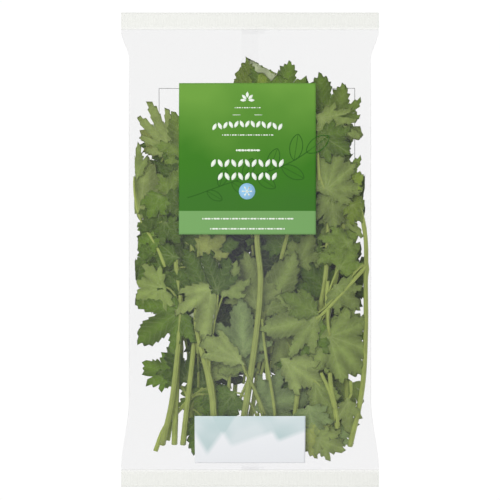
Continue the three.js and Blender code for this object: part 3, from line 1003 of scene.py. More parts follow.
    def fold(
        self, along: Array, across: Array, up: Array, bend: Bend, length: float
    ) -> tuple[Array, Array, Array]:
        """Folds a side or the tip of a blade over or under, round a small radius.

        Args:
            along: Places along the leaf.
            across: Places across the leaf.
            up: Heights over its middle plane.
            bend: Which part folds.
            length: The leaf's length.

        Returns:
            The three coordinates after folding.
        """
        if bend.value is None:
            return along, across, up
        direction, share, sign = bend.value
        nx, ny = toward(direction)
        past = along * nx + across * ny - share * length
        turn = np.clip(past / self.fold_radius, 0, math.pi)
        beyond = np.maximum(past - math.pi * self.fold_radius, 0)
        moved = self.fold_radius * np.sin(turn) - beyond - sign * up * np.sin(turn)
        moved = np.where(past > 0, moved, past)
        risen = sign * self.fold_radius * (1 - np.cos(turn)) + up * np.cos(turn)
        risen = np.where(past > 0, risen, up)
        return along + (moved - past) * nx, across + (moved - past) * ny, risen

    def add_blade(self, leaf: Leaf, level: float, lift: float, seed: int) -> None:
        """Adds a leaf blade: a ball pressed flat, whose rim is drawn out to the leaf's edge.

        Args:
            leaf: The leaf.
            level: The level that it lies on.
            lift: Its height over that level.
            seed: Sets how its teeth and waves vary.
        """
        rings = self.detail.rings
        outline = leaf.outline(seed)
        rim = self.rim(outline)
        verts, turn, row = self.ball(len(rim), 2 * rings)
        share = 1 - (np.abs(row - rings) / rings) ** self.rim_detail
        side = np.where(row < rings, 1.0, np.where(row > rings, -1.0, 0.0))
        plan = share[:, None] * rim[turn]
        across, along = self.nearest_vein(plan, outline)
        draw = draws(seed + self.WAVE_SEED)
        thick = side * self.blade / 2
        u, v, up = self.fold(plan[:, 0], plan[:, 1], thick, leaf.bend, leaf.length)
        middle = self.fold(plan[:, 0], plan[:, 1], 0 * thick, leaf.bend, leaf.length)[2]
        skin = up - middle
        waves = self.waves(plan, leaf.length, across, draw)
        cos, sin = math.cos(leaf.heading), math.sin(leaf.heading)
        x = leaf.hub[0] + u * cos - v * sin
        y = leaf.hub[1] + u * sin + v * cos
        edge = self.pillow.half_width(y) - self.edge_room
        over = np.maximum(np.abs(x) - (edge - self.edge_give), 0)
        x = x - np.sign(x) * (over - self.edge_give * np.tanh(over / self.edge_give))
        z = self.pillow.between(level, self.blade / 2, x, y) + lift + middle + waves
        z = self.pillow.inside(z, x, y) + skin
        tint = self.tint[0] + self.tint[1] * draw()
        base = [c * tint for c in linear(leaf.tone.value)[:3]]
        self.shape(verts, np.stack([x, y, z], axis=1), np.stack([across, along, share], axis=1), base)
        rows = {vert: int(r) for vert, r in zip(verts, row)}
        for face in {f for vert in verts for f in vert.link_faces}:
            under = sum(rows[vert] for vert in face.verts) > rings * len(face.verts)
            face.material_index = Part.UNDER if under else Part.UPPER

    def add_tube(self, path: Array, radii: Array, base: Sequence[float], ribbed: bool) -> None:
        """Adds a round stem or stalk along a path.

        Args:
            path: The middle line.
            radii: The radius at each of its points.
            base: The colour, linear.
            ribbed: Whether ribs run along it.
        """
        sides = self.detail.stem_sides
        verts, turn, row = self.ball(sides, len(path) + 1)
        at = np.clip(row - 1, 0, len(path) - 1)
        tangent = np.gradient(path, axis=0)
        tangent /= np.linalg.norm(tangent, axis=1)[:, None]
        side = np.cross(tangent, [0.0, 0.0, 1.0])
        side /= np.linalg.norm(side, axis=1)[:, None]
        top = np.cross(side, tangent)
        angle = math.tau * turn / sides
        pole = (row == 0) | (row == len(path) + 1)
        rib = self.rib_height if ribbed else 0.0
        reach = np.where(pole, 0, radii[at] * (1 + rib * np.cos(self.ribs * angle)))
        out = np.cos(angle)[:, None] * side[at] + np.sin(angle)[:, None] * top[at]
        facts = np.stack([turn / sides, at / len(path), np.zeros(len(at))], axis=1)
        for face in self.shape(verts, path[at] + reach[:, None] * out, facts, base):
            face.material_index = Part.STEM
        cut = linear(self.cut_colour)
        for vert, is_cut in zip(verts, row == 0):
            if is_cut:
                vert[self.tone] = cut

    def shape(self, verts: list, places: Array, facts: Array, base: Sequence[float]) -> set:
        """Places vertices and writes what the finishes read.

        Args:
            verts: The vertices.
            places: Where each goes.
            facts: The vein facts of each.
            base: The colour, linear.

        Returns:
            The faces between them.
        """
        colour = (base[0], base[1], base[2], 1.0)
        for vert, place, fact in zip(verts, places, facts):
            vert.co = place
            vert[self.tone] = colour
            vert[self.vein] = Vector(fact)
        return {f for vert in verts for f in vert.link_faces}


def smooth_line(points: Sequence[Point], step: float) -> Array:
    """A curve through points in plan, at even steps.

    Args:
        points: The points that it passes through.
        step: About how far apart its own points are.

    Returns:
        The points of the curve.
    """
    dense_steps = 40
    first, last = 2 * np.array(points[0]) - points[1], 2 * np.array(points[-1]) - points[-2]
    ends = np.array([first, *points, last], float)
    dense = []
    for i in range(len(points) - 1):
        p0, p1, p2, p3 = ends[i : i + 4]
        w = np.linspace(0, 1, dense_steps, endpoint=i == len(points) - 2)[:, None]
        t0, t1 = 0.5 * (p2 - p0), 0.5 * (p3 - p1)
        cubic = (2 * p1 - 2 * p2 + t0 + t1) * w**3 + (-3 * p1 + 3 * p2 - 2 * t0 - t1) * w**2 + t0 * w + p1
        dense.append(cubic)
    line = np.concatenate(dense)
    run = np.concatenate([[0], np.cumsum(np.linalg.norm(np.diff(line, axis=0), axis=1))])
    even = np.linspace(0, run[-1], max(math.ceil(run[-1] / step), 2) + 1)
    return np.stack([np.interp(even, run, line[:, k]) for k in (0, 1)], axis=1)


def at_share(line: Array, share: float) -> tuple[Array, Array]:
    """The point at a share of a line with even steps, and the way the line runs there.

    Args:
        line: The line's points.
        share: From 0 at its start to 1 at its end.

    Returns:
        The point and the unit direction.
    """
    place = share * (len(line) - 1)
    i = min(int(place), len(line) - 2)
    step = line[i + 1] - line[i]
    return line[i] + (place - i) * step, step / np.linalg.norm(step)


@dataclass
class Sprig:
    """One sprig of parsley: a stem with leaves on stalks, lying at one level of the packing."""

    name: str
    level: float
    stem: Sequence[Point]
    leaves: Sequence[Leaf]
    seed: int
    detail: Detail
    stem_radius: float
    stalk_radius: float
    replaces: bool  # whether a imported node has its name
    stem_tone: str = "aab95c"
    shade: Point = (0.72, 0.32)  # the least brightness of a stem, and how much more some have
    taper: Point = (1.08, 0.3)  # how stout it is at its cut end, and how much of that it loses
    knuckle: float = 0.16  # how much it swells where a stalk leaves
    knuckle_length: float = 0.02  # over what share of its length
    stalk_taper: Point = (1.15, 0.62)  # how stout a stalk is at its ends
    stalk_step: float = 2.5
    stalk_steps: int = 5  # at least
    stalk_hook: float = 7.0  # how far behind a leaf its stalk lines up with it, at most
    stalk_end: float = 0.6  # where it ends inside the leaf, short of the hub
    stalk_drop: float = 0.35  # how far its middle is under the middle of the blade there
    stalk_tip: float = 0.3  # half its thickness there

    LIFTS = (0.0, 0.8, -0.8)  # the leaves take turns at these heights, to lie clear of each other
    SHADE_SEED = 3  # added to the sprig's seed for the brightness of its stem

    def stalk(self, pillow: Pillow, line: Array, leaf: Leaf, lift: float) -> Array:
        """The line of a leaf's stalk, from the stem to just inside the blade.

        Args:
            pillow: The packet's shape.
            line: The stem's line in plan.
            leaf: The leaf.
            lift: The leaf's height over the level.

        Returns:
            The points of the stalk.
        """
        start, along = at_share(line, leaf.joint)
        hub = np.array(leaf.hub)
        heading = np.array([math.cos(leaf.heading), math.sin(leaf.heading)])
        gap = float(np.linalg.norm(hub - start))
        hook = min(gap / 3, self.stalk_hook)
        knots = [start, start + along * gap / 3, hub - heading * hook, hub - heading * self.stalk_end]
        w = np.linspace(0, 1, max(math.ceil(gap / self.stalk_step), self.stalk_steps))[:, None]
        weights = [(1 - w) ** 3, 3 * w * (1 - w) ** 2, 3 * w**2 * (1 - w), w**3]
        plan = sum(weight * knot for weight, knot in zip(weights, knots))
        share = w[:, 0]
        half = self.stem_radius * (1 - share) + self.stalk_tip * share
        z = pillow.between(self.level, half, plan[:, 0], plan[:, 1]) + share * (lift - self.stalk_drop)
        return np.column_stack([plan, z])

    def build(self, pillow: Pillow, finishes: Sequence[bpy.types.Material]) -> None:
        """Builds the sprig as one piece.

        Args:
            pillow: The packet's shape.
            finishes: Its upper leaf, under leaf and stem materials.
        """
        maker = SprigMesh(pillow, self.detail)
        line = smooth_line(self.stem, self.detail.stem_step)
        z = pillow.between(self.level, self.stem_radius, line[:, 0], line[:, 1])
        run = np.linspace(0, 1, len(line))
        radii = self.stem_radius * (self.taper[0] - self.taper[1] * run)
        for leaf in self.leaves:
            radii *= 1 + self.knuckle * np.exp(-(((run - leaf.joint) / self.knuckle_length) ** 2))
        shade = self.shade[0] + self.shade[1] * draws(self.seed + self.SHADE_SEED)()
        base = [c * shade for c in linear(self.stem_tone)[:3]]
        maker.add_tube(np.column_stack([line, z]), radii, base, ribbed=True)
        for i, leaf in enumerate(self.leaves):
            lift = self.LIFTS[i % len(self.LIFTS)]
            maker.add_blade(leaf, self.level, lift, self.seed + i)
            path = self.stalk(pillow, line, leaf, lift)
            thin = self.stalk_radius * np.linspace(*self.stalk_taper, len(path))
            maker.add_tube(path, thin, base, ribbed=False)
        if self.replaces:
            piece(f"{self.name}_leafy", maker.mesh, finishes, [self.name])
        else:
            piece(self.name, maker.mesh, finishes)


# -------------------------------- where the herbs lie
FAN, CUT, SPREAD, ROUND = Form.FAN, Form.CUT, Form.SPREAD, Form.ROUND
LANCE, LONG, WEDGE, BROAD = Form.LANCE, Form.LONG, Form.WEDGE, Form.BROAD
DEEP, DARK, GREEN, MID = Tone.DEEP, Tone.DARK, Tone.GREEN, Tone.MID
SOFT, PALE, BLUISH, YELLOW, FRESH = Tone.SOFT, Tone.PALE, Tone.BLUISH, Tone.YELLOW, Tone.FRESH
TIP, LEFT = Bend.TIP_OVER, Bend.LEFT_UNDER

Stem = list[Point]

# Each sprig's name, level, stem in plan from its cut end, and leaves. A leaf's row is its form,
# its hub, its tip, the share of the stem where its stalk leaves, its tone and its bend.
SPRIGS: dict[str, tuple[float, Stem, list[tuple]]] = {
    "sprig_long": (0.94, [(-7, -119), (3, -53), (6, -18), (4, 10), (8, 52), (13, 80)], [
        (CUT, 10, 89, 3, 107, 0.97, GREEN), (FAN, 19, 90, 23, 108, 0.93, GREEN),
        (ROUND, 26, 84, 32, 97, 0.85, MID), (ROUND, 2, 84, -5, 96, 0.9, YELLOW),
        (FAN, 0, 58, -12, 74, 0.75, MID), (FAN, 15, 56, 27, 72, 0.72, MID)]),
    "sprig_left": (0.9, [(-51, -113), (-45, -87), (-41, -50), (-40, -29), (-43, -7)], [
        (FAN, -40, -35, -65, -53, 0.6, GREEN), (SPREAD, -51, -22, -67, -27, 0.7, SOFT),
        (ROUND, -43, -12, -44, -26, 0.9, DARK), (LANCE, -44, -4, -65, 0, 0.95, DARK)]),
    "sprig_fork": (0.97, [(-20, -119), (-22, -83), (-29, -53), (-31, -38), (-28, -21)], [
        (FAN, -22, -22, -27, -50, 0.97, PALE, LEFT), (FAN, -19, -23, -26, -3, 0.4, DARK, LEFT),
        (FAN, -15, -25, -8, -8, 0.45, SOFT)]),
    "sprig_right_edge": (0.965, [(58, -114), (65, -80), (67, -47), (67, -20), (67, 6), (63, 28)], [
        (FAN, 37, -40, 8, -46, 0.72, SOFT), (LANCE, 37, -36, 20, -26, 0.72, MID),
        (FAN, 40, -43, 30, -60, 0.72, GREEN), (ROUND, 59, 26, 66, 17, 0.9, FRESH)]),
    "sprig_mid_leaf": (0.79, [(10, -116), (7, -94), (-2, -70)], [
        (FAN, -4, -59, -5, -29, 0.95, BLUISH), (LANCE, -5, -68, -22, -60, 0.85, SOFT)]),
    "sprig_pendant": (0.825, [(24, -117), (28, -80), (34, -60), (43, -20), (45, 10), (46, 28)], [
        (SPREAD, 45, -44, 57, -70, 0.6, SOFT), (FAN, 57, 4, 40, -7, 0.75, MID),
        (ROUND, 50, 1, 61, 8, 0.7, MID), (ROUND, 47, 31, 49, 13, 0.97, SOFT)]),
    "sprig_left_mid": (0.81, [(-39, -113), (-36, -87), (-32, -50), (-31, -23), (-34, 3)], [
        (FAN, -29, 8, -36, -14, 0.97, DARK), (FAN, -41, 9, -49, 37, 0.97, DARK),
        (SPREAD, -43, 5, -64, 6, 0.9, GREEN), (FAN, -46, 15, -64, 31, 0.97, GREEN),
        (FAN, -26, -1, -8, 3, 0.85, DARK)]),
    "sprig_short": (0.69, [(-14, -118), (-13, -92), (-12, -75)], [
        (FAN, -14, -73, -18, -55, 0.97, PALE), (FAN, -9, -67, 1, -48, 0.97, BLUISH)]),
    "sprig_left_tall": (0.65, [(-44, -113), (-42, -60), (-42, -10), (-41, 30), (-40, 52)], [
        (LONG, -46, 57, -58, 85, 0.97, PALE), (CUT, -36, 54, -44, 78, 0.97, MID),
        (LANCE, -48, 57, -62, 68, 0.92, YELLOW), (FAN, -44, 42, -60, 50, 0.8, DARK),
        (LANCE, -62, 22, -58, 50, 0.5, PALE), (FAN, -36, 30, -24, 46, 0.8, DARK)]),
    "sprig_right_low": (0.53, [(48, -107), (48, -90), (43, -75)], [
        (LANCE, 41, -80, 49, -99, 0.95, GREEN), (FAN, 35, -77, 12, -83, 0.95, GREEN)]),
    "sprig_right_top": (0.67, [(32, -116), (35, -85), (40, -60), (50, -15), (54, 18), (53, 35)], [
        (FAN, 53, 41, 53, 60, 0.97, MID), (ROUND, 56, 38, 66, 42, 0.97, FRESH),
        (FAN, 56, 30, 64, 18, 0.85, FRESH), (FAN, 52, 20, 53, 0, 0.8, SOFT),
        (FAN, 49, 36, 37, 50, 0.97, SOFT)]),
    "sprig_mid": (0.62, [(-2, -118), (3, -80), (7, -53), (8, -36)], [
        (CUT, 11, -34, 26, -3, 0.97, SOFT), (FAN, 3, -31, -2, -3, 0.97, PALE),
        (ROUND, 2, -40, -9, -33, 0.85, SOFT)]),
    "sprig_top_right": (0.524, [(15, -117), (13, -94), (9, -55), (15, -18), (29, 35), (41, 72)], [
        (FAN, 42, 79, 41, 101, 0.97, GREEN), (FAN, 51, 76, 54, 95, 0.95, MID),
        (FAN, 48, 71, 65, 66, 0.93, SOFT), (FAN, 44, 66, 54, 54, 0.85, DARK),
        (FAN, 24, 48, 10, 60, 0.8, DARK), (FAN, 32, 62, 22, 80, 0.85, DARK)]),
    "sprig_left_low": (0.445, [(-55, -117), (-50, -104), (-42, -94), (-32, -84)], [
        (ROUND, -46, -74, -61, -66, 0.8, GREEN), (FAN, -37, -75, -47, -58, 0.9, DARK),
        (SPREAD, -22, -86, -41, -90, 0.97, MID), (ROUND, -27, -78, -29, -63, 0.97, DARK),
        (LANCE, -29, -98, -33, -117, 0.7, GREEN), (FAN, -21, -82, -14, -96, 0.97, GREEN)]),
    "sprig_mid_low": (0.453, [(20, -117), (20, -90), (24, -60), (32, -38)], [
        (LANCE, 37, -30, 29, -12, 0.97, MID), (LANCE, 40, -36, 42, -11, 0.95, SOFT),
        (FAN, 26, -66, 40, -79, 0.55, YELLOW), (FAN, 19, -51, 15, -71, 0.7, PALE)]),
    "sprig_mid_right": (0.306, [(28, -116), (30, -75), (36, -35), (38, -8), (34, 24)], [
        (FAN, 38, -12, 34, 8, 0.6, MID), (LANCE, 34, -9, 22, -4, 0.6, DARK),
        (FAN, 33, 30, 24, 48, 0.95, DARK), (FAN, 39, 20, 54, 22, 0.85, DARK)]),
    "sprig_low_right": (0.379, [(52, -112), (55, -94), (56, -79), (54, -62)], [
        (FAN, 51, -95, 45, -114, 0.5, GREEN), (CUT, 57, -78, 55, -97, 0.6, SOFT),
        (FAN, 54, -56, 60, -38, 0.97, GREEN), (FAN, 48, -77, 33, -66, 0.65, DARK)]),
    "sprig_low_mid": (0.212, [(37, -114), (38, -98), (39, -80), (38, -64)], [
        (FAN, 33, -92, 30, -112, 0.6, DARK), (FAN, 40, -94, 40, -112, 0.5, MID),
        (FAN, 32, -80, 14, -88, 0.7, DARK), (FAN, 39, -57, 43, -38, 0.97, DARK),
        (FAN, 31, -60, 17, -46, 0.95, DARK)]),
}

# More sprigs and bare stems among those, laid out in the same way. A sprig's place in its table
# sets its seed, so new ones go at the end.
MORE: dict[str, tuple[float, Stem, list[tuple]]] = {
    "more_top": (1.0, [(8, 60), (3, 74), (0, 82)], [(BROAD, 0.8, 89.6, 11.8, 109.8, 0.97, FRESH, TIP)]),
    "more_stem_left": (0.68, [(-12, -118), (-9, -95), (1, -70), (6, -50)], []),
    "more_stem_mid": (0.56, [(-4, -118), (0, -95), (8, -65), (10, -40)], []),
    "more_stem_right": (0.9, [(15, -118), (14, -92), (9, -60), (7, -40)], []),
    "more_low_right": (0.92, [(18, -120), (25, -112), (31, -103)], [
        (FAN, 34, -103, 38, -120, 0.9, YELLOW), (ROUND, 40, -110, 54, -116, 0.95, PALE),
        (ROUND, 47, -110, 59, -103, 0.95, BLUISH), (ROUND, 39, -98, 42, -112, 0.8, PALE),
        (ROUND, 34, -92, 38, -108, 0.8, BLUISH)]),
    "more_low_edge": (0.985, [(58, -76), (58.5, -80), (58.5, -84)], [
        (LANCE, 56.5, -88, 57, -105, 0.9, PALE)]),
    "more_low_leaf": (0.9, [(50, -98), (47, -88), (42, -80)], [
        (LANCE, 38, -78, 49, -99, 0.95, SOFT), (LANCE, 21, -65, 42, -80, 0.9, PALE)]),
    "more_stalk": (1.0, [(67, -10), (55, -23), (43, -36), (38, -40)], []),
    "more_stalk_side": (1.0, [(45, -34), (45, -42), (46, -50)], []),
    "more_fork": (1.0, [(50.6, -103), (49.5, -93), (47, -82), (46, -71)], []),
    "more_fork_side": (1.0, [(49, -92), (46, -82), (41, -71)], []),
    "more_low_mid": (0.74, [(2, -120), (4, -110), (5, -100)], [
        (FAN, 7, -91, 37, -82, 0.95, BLUISH), (FAN, -10, -84, -22, -98, 0.9, GREEN)]),
    "more_right_top": (0.98, [(40, 40), (39, 58), (40, 70)], [
        (LONG, 41, 76, 64, 65, 0.97, SOFT), (ROUND, 41, 66, 57, 56, 0.85, GREEN),
        (SPREAD, 44, 35, 52, 56, 0.1, SOFT)]),
    "more_right": (0.95, [(45, -18), (44, -32), (45, -42)], [
        (SPREAD, 46, -50, 65, -71, 0.97, SOFT), (FAN, 50, -22, 62, -34, 0.4, SOFT),
        (FAN, 52, -10, 63, 2, 0.3, MID)]),
    "more_left_edge": (0.92, [(-49, -10), (-54, 2), (-61, 13)], [
        (ROUND, -64, 22, -60, 52, 0.97, PALE), (LANCE, -67, 43, -65, 60, 0.97, SOFT),
        (CUT, -57, -6, -65, -20, 0.4, DARK)]),
    "more_left_small": (0.95, [(-50, 4), (-52, 14), (-51, 26)], [
        (CUT, -53, 20, -63, 12, 0.6, DARK), (ROUND, -49, 16, -42, 5, 0.5, DARK),
        (CUT, -55, 9, -65, 2, 0.2, GREEN), (FAN, -49, 30, -40, 20, 0.97, DARK),
        (ROUND, -52, 31, -58, 20, 0.9, GREEN), (CUT, -47, 33, -41, 46, 0.97, MID)]),
    "more_left_mid": (0.86, [(-30, -60), (-31, -20), (-28, 12), (-24, 24)], [
        (FAN, -27, -2, -15, 7, 0.7, YELLOW), (FAN, -27, -20, -37, -1, 0.5, DARK),
        (ROUND, -43, -12, -52, -21, 0.55, DARK), (FAN, -42, -7, -53, 6, 0.6, DEEP)]),
    "more_mid": (0.5, [(12, -60), (16, -20), (20, 10), (22, 26)], [
        (FAN, 28, -8, 36, 9, 0.6, SOFT), (FAN, 19, 2, 8, 12, 0.7, DARK),
        (LANCE, 25, -35, 40, -22, 0.4, SOFT)]),
    "more_mid_leaf": (0.99, [(8.5, -95), (3, -81.5), (-3, -70)], [
        (WEDGE, -5.8, -64.5, -26, -51, 0.97, PALE)]),
}

# The radii of the stems that aren't as stout as most of their table.
STOUT = {
    "sprig_long": 1.9, "sprig_fork": 2.1, "sprig_left": 1.7, "sprig_left_mid": 1.6, "sprig_pendant": 1.5,
    "sprig_left_tall": 1.6, "sprig_right_edge": 1.5, "sprig_mid_low": 1.6, "sprig_right_top": 1.6,
    "more_fork": 1.7, "more_fork_side": 1.2, "more_stalk": 1.2,
}

# The sprigs behind these: level and stem. Their leaves alternate along it.
HIDDEN: dict[str, tuple[float, Stem]] = {
    "sprig_back_left": (0.32, [(-35, -106), (-31, -60), (-38, 0), (-44, 48)]),
    "sprig_back_edge": (0.21, [(-48, -111), (-40, -60), (-46, -10), (-48, 28)]),
    "sprig_back_mid": (0.205, [(-11, -116), (-8, -60), (-10, 0), (-14, 66)]),
    "sprig_back_under": (0.06, [(-26, -116), (-22, -60), (-24, 10), (-28, 62)]),
    "sprig_back_tall": (0.11, [(5, -116), (12, -60), (14, 0), (20, 70)]),
    "sprig_back_right": (0.09, [(47, -88), (50, -60), (50, 18), (46, 48)]),
}

# More stems among them, each with small leaves all along it: level and stem. Their leaves mostly get the
# darkest tones, as painted shade deep in the packing.
FILLING: dict[str, tuple[float, Stem]] = {
    "filling_left_edge": (0.38, [(-42, -60), (-52, -30), (-56, 5), (-54, 40), (-46, 66)]),
    "filling_left": (0.14, [(-34, -70), (-42, -30), (-47, 12), (-44, 56), (-36, 78)]),
    "filling_left_mid": (0.46, [(-30, -80), (-30, -45), (-30, -10), (-24, 30), (-22, 74)]),
    "filling_mid_left": (0.36, [(-24, -84), (-17, -45), (-14, -8), (-16, 30), (-8, 78)]),
    "filling_mid": (0.27, [(-4, -78), (0, -50), (2, -12), (0, 30), (4, 82)]),
    "filling_mid_right": (0.4, [(8, -84), (15, -52), (20, -14), (18, 30), (24, 80)]),
    "filling_right_mid": (0.16, [(18, -82), (27, -50), (31, -12), (32, 30), (38, 76)]),
    "filling_right": (0.46, [(38, -104), (42, -62), (46, -20), (44, 24), (47, 70)]),
    "filling_right_edge": (0.3, [(52, -112), (56, -74), (60, -36), (59, 6), (55, 52)]),
    "filling_low_right": (0.05, [(44, -114), (46, -92), (44, -68), (50, -44), (56, -20)]),
    "filling_under_left": (0.03, [(-30, -84), (-36, -40), (-34, 0), (-38, 40), (-34, 72)]),
    "filling_under_mid": (0.02, [(0, -80), (-6, -40), (-2, 0), (8, 40), (2, 80)]),
    "filling_under_right": (0.04, [(26, -84), (32, -44), (24, 0), (36, 40), (30, 80)]),
}


@dataclass(frozen=True)
class Bunch:
    """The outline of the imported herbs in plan, and the small places where one sees through them."""

    edge: tuple[Point, ...] = (
        (-60.5, 46.3), (-46.0, 72.0), (-39.5, 88.0), (37.2, 88.0), (45.0, 88.0), (50.0, 74.0),
        (54.0, 60.0), (60.0, 52.0), (64.5, 36.0), (65.5, 5.6), (65.5, -46.7), (57.0, -72.8),
        (59.0, -104.8), (54.0, -118.0), (34.9, -118.0), (33.7, -94.4), (7.0, -87.4), (-16.3, -80.0),
        (-20.0, -94.4), (-29.0, -94.4), (-36.0, -78.7), (-34.9, -55.4), (-62.0, -46.0),
        (-64.5, -11.8), (-61.0, 8.5), (-65.0, 26.0),
    )
    # each window: its middle and its radius
    windows: tuple[tuple[float, float, float], ...] = (
        (-46.0, -62.0, 7.0), (-45.0, -78.0, 7.0), (-46.5, -95.0, 8.0), (-16.2, -90.0, 3.5),
        (0.5, -85.0, 5.0), (65.0, -4.0, 3.5), (66.0, -16.0, 3.0), (-57.5, 53.0, 4.5),
        (-63.0, 8.0, 3.0), (27.0, -61.0, 1.5),
    )
    spread: float = 0.42  # how far a leaf spreads round its middle, as a share of its length
    solid: float = 0.8  # how much of that has to be clear of the windows

    AROUND = tuple(0.785 * i for i in range(8))  # eight directions, in radians

    def holds(self, x: float, y: float, reach: float = 0.0) -> bool:
        """Whether a place is inside the herbs.

        Args:
            x: Across the packet.
            y: Along the packet.
            reach: How clear of the windows it has to be.

        Returns:
            True if herbs cover the place.
        """
        inside = False
        for (x0, y0), (x1, y1) in zip(self.edge, (*self.edge[1:], self.edge[0])):
            if (y0 > y) != (y1 > y) and x < x0 + (x1 - x0) * (y - y0) / (y1 - y0):
                inside = not inside
        clear = all(math.hypot(x - wx, y - wy) > r + reach for wx, wy, r in self.windows)
        return inside and clear

    def covers(self, leaf: Leaf) -> bool:
        """Whether the whole of a leaf is inside the herbs.

        Args:
            leaf: The leaf.

        Returns:
            True if its hub, its tip and a ring round its middle are.
        """
        (x0, y0), (x1, y1) = leaf.hub, leaf.tip
        x, y = (x0 + 2 * x1) / 3, (y0 + 2 * y1) / 3
        half = self.spread * leaf.length
        ring = [(x + half * math.cos(a), y + half * math.sin(a)) for a in self.AROUND]
        touched = all(self.holds(*p) for p in [leaf.hub, leaf.tip, *ring])
        return touched and self.holds(x, y, half * self.solid)


class Growth(Enum):
    """Where a sprig's leaves come from."""

    LISTED = "its table"
    ALTERNATE = "large leaves to the left and right in turn"
    CROWDED = "small leaves all along it"


@dataclass(frozen=True)
class Batch:
    """Sprigs that are made alike."""

    table: dict[str, tuple]
    first_seed: int
    growth: Growth
    detail: Detail
    replaces: bool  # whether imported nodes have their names
    stem_radius: float
    stalk_radius: float = 0.75


@dataclass
class Herbs:
    """All the sprigs in the packet."""

    pillow: Pillow
    bunch: Bunch = field(default_factory=Bunch)
    batches: tuple[Batch, ...] = (
        Batch(SPRIGS, 100, Growth.LISTED, FINE, replaces=True, stem_radius=1.3),
        Batch(MORE, 3100, Growth.LISTED, FINE, replaces=False, stem_radius=1.0),
        Batch(HIDDEN, 5100, Growth.ALTERNATE, COARSE, replaces=True, stem_radius=1.3),
        Batch(FILLING, 8100, Growth.CROWDED, COARSE, replaces=False, stem_radius=0.8, stalk_radius=0.5),
    )
    seed_step: int = 100  # between sprigs, so that no two leaves share a seed
    plan_step: float = 4.0  # mm between the points of a stem's line in plan
    # of the alternating leaves
    joints: tuple[float, ...] = (0.45, 0.62, 0.8, 0.97)  # beside these shares of the stem
    joint_back: float = 0.04  # how much sooner their stalks leave it
    splay: float = 50.0  # degrees from the stem's own way
    hub_reach: float = 6.0  # mm from the stem to the hub
    length: Point = (23.0, 29.0)  # least and greatest
    # of the crowded leaves: the least of each, and how much more some have
    crowded_joints: tuple[float, ...] = tuple(np.arange(0.08, 1.0, 0.075).tolist())
    crowded_splay: Point = (35.0, 60.0)
    crowded_reach: Point = (3.0, 7.0)
    crowded_length: Point = (15.0, 9.0)
    crowded_forms: tuple[Form, ...] = (Form.FAN, Form.SPREAD, Form.ROUND, Form.FAN)
    # mostly the darkest tones, as painted shade for leaves deep in the packing
    crowded_tones: tuple[Tone, ...] = (Tone.DEEP, Tone.DARK, Tone.DEEP, Tone.GREEN)

    def finishes(self) -> list[bpy.types.Material]:
        """Makes the materials of the herbs.

        Returns:
            The upper leaf's, the under leaf's and the stem's, in the order of Part.
        """
        upper = LeafSkin("parsley_leaf_upper", pale=0.0, pale_colour="a9b98a", vein_share=0.52,
                         vein_colour="b4bf84", roughness=0.48)
        under = LeafSkin("parsley_leaf_under", pale=0.8, pale_colour="c9d3ac", vein_share=0.4,
                         vein_colour="dde3c4", roughness=0.6)
        return [upper.build(), under.build(), StemSkin().build()]

    def alternate_leaves(self, stem: Stem, seed: int) -> list[Leaf]:
        """The leaves of a sprig behind the others.

        Args:
            stem: Its stem in plan.
            seed: Its seed.

        Returns:
            Its leaves.
        """
        draw = draws(seed)
        line = smooth_line(stem, self.plan_step)
        leaves = []
        for i, joint in enumerate(self.joints):
            point, along = at_share(line, joint)
            last = i == len(self.joints) - 1
            splay = 0 if last else (1 if i % 2 else -1) * self.splay
            heading = math.atan2(along[1], along[0]) + math.radians(splay)
            ahead = np.array([math.cos(heading), math.sin(heading)])
            low, high = self.length
            hub = point + ahead * self.hub_reach
            tip = hub + ahead * (low + (high - low) * draw())
            # Tone.DARK on these leaves behind the others is painted shade
            leaves.append(Leaf(Form.CUT, tuple(hub), tuple(tip), joint - self.joint_back, Tone.DARK))
        return leaves

    def crowded_leaves(self, stem: Stem, seed: int) -> list[Leaf]:
        """The leaves of one of the smaller stems, kept inside the bunch's outline.

        Args:
            stem: Its stem in plan.
            seed: Its seed.

        Returns:
            Its leaves.
        """
        draw = draws(seed)

        def drawn(span: Point) -> float:
            """A draw from the first number up, by at most the second."""
            return span[0] + span[1] * draw()

        line = smooth_line(stem, self.plan_step)
        leaves = []
        for i, joint in enumerate(self.crowded_joints):
            point, along = at_share(line, joint)
            splay = (1 if i % 2 else -1) * drawn(self.crowded_splay)
            heading = math.atan2(along[1], along[0]) + math.radians(splay)
            ahead = np.array([math.cos(heading), math.sin(heading)])
            hub = point + ahead * drawn(self.crowded_reach)
            tip = hub + ahead * drawn(self.crowded_length)
            form = self.crowded_forms[int(len(self.crowded_forms) * draw())]
            tone = self.crowded_tones[int(len(self.crowded_tones) * draw())]
            leaf = Leaf(form, tuple(hub), tuple(tip), joint, tone)
            if self.bunch.covers(leaf):
                leaves.append(leaf)
        return leaves

    def build(self) -> None:
        """Builds every sprig."""
        finishes = self.finishes()
        for batch in self.batches:
            for i, (name, (level, stem, *listed)) in enumerate(batch.table.items()):
                seed = batch.first_seed + self.seed_step * i
                if batch.growth is Growth.LISTED:
                    leaves = [Leaf(row[0], row[1:3], row[3:5], *row[5:]) for row in listed[0]]
                elif batch.growth is Growth.ALTERNATE:
                    leaves = self.alternate_leaves(stem, seed)
                else:
                    leaves = self.crowded_leaves(stem, seed)
                radii = STOUT.get(name, batch.stem_radius), batch.stalk_radius
                sprig = Sprig(name, level, stem, leaves, seed, batch.detail, *radii, batch.replaces)
                sprig.build(self.pillow, finishes)


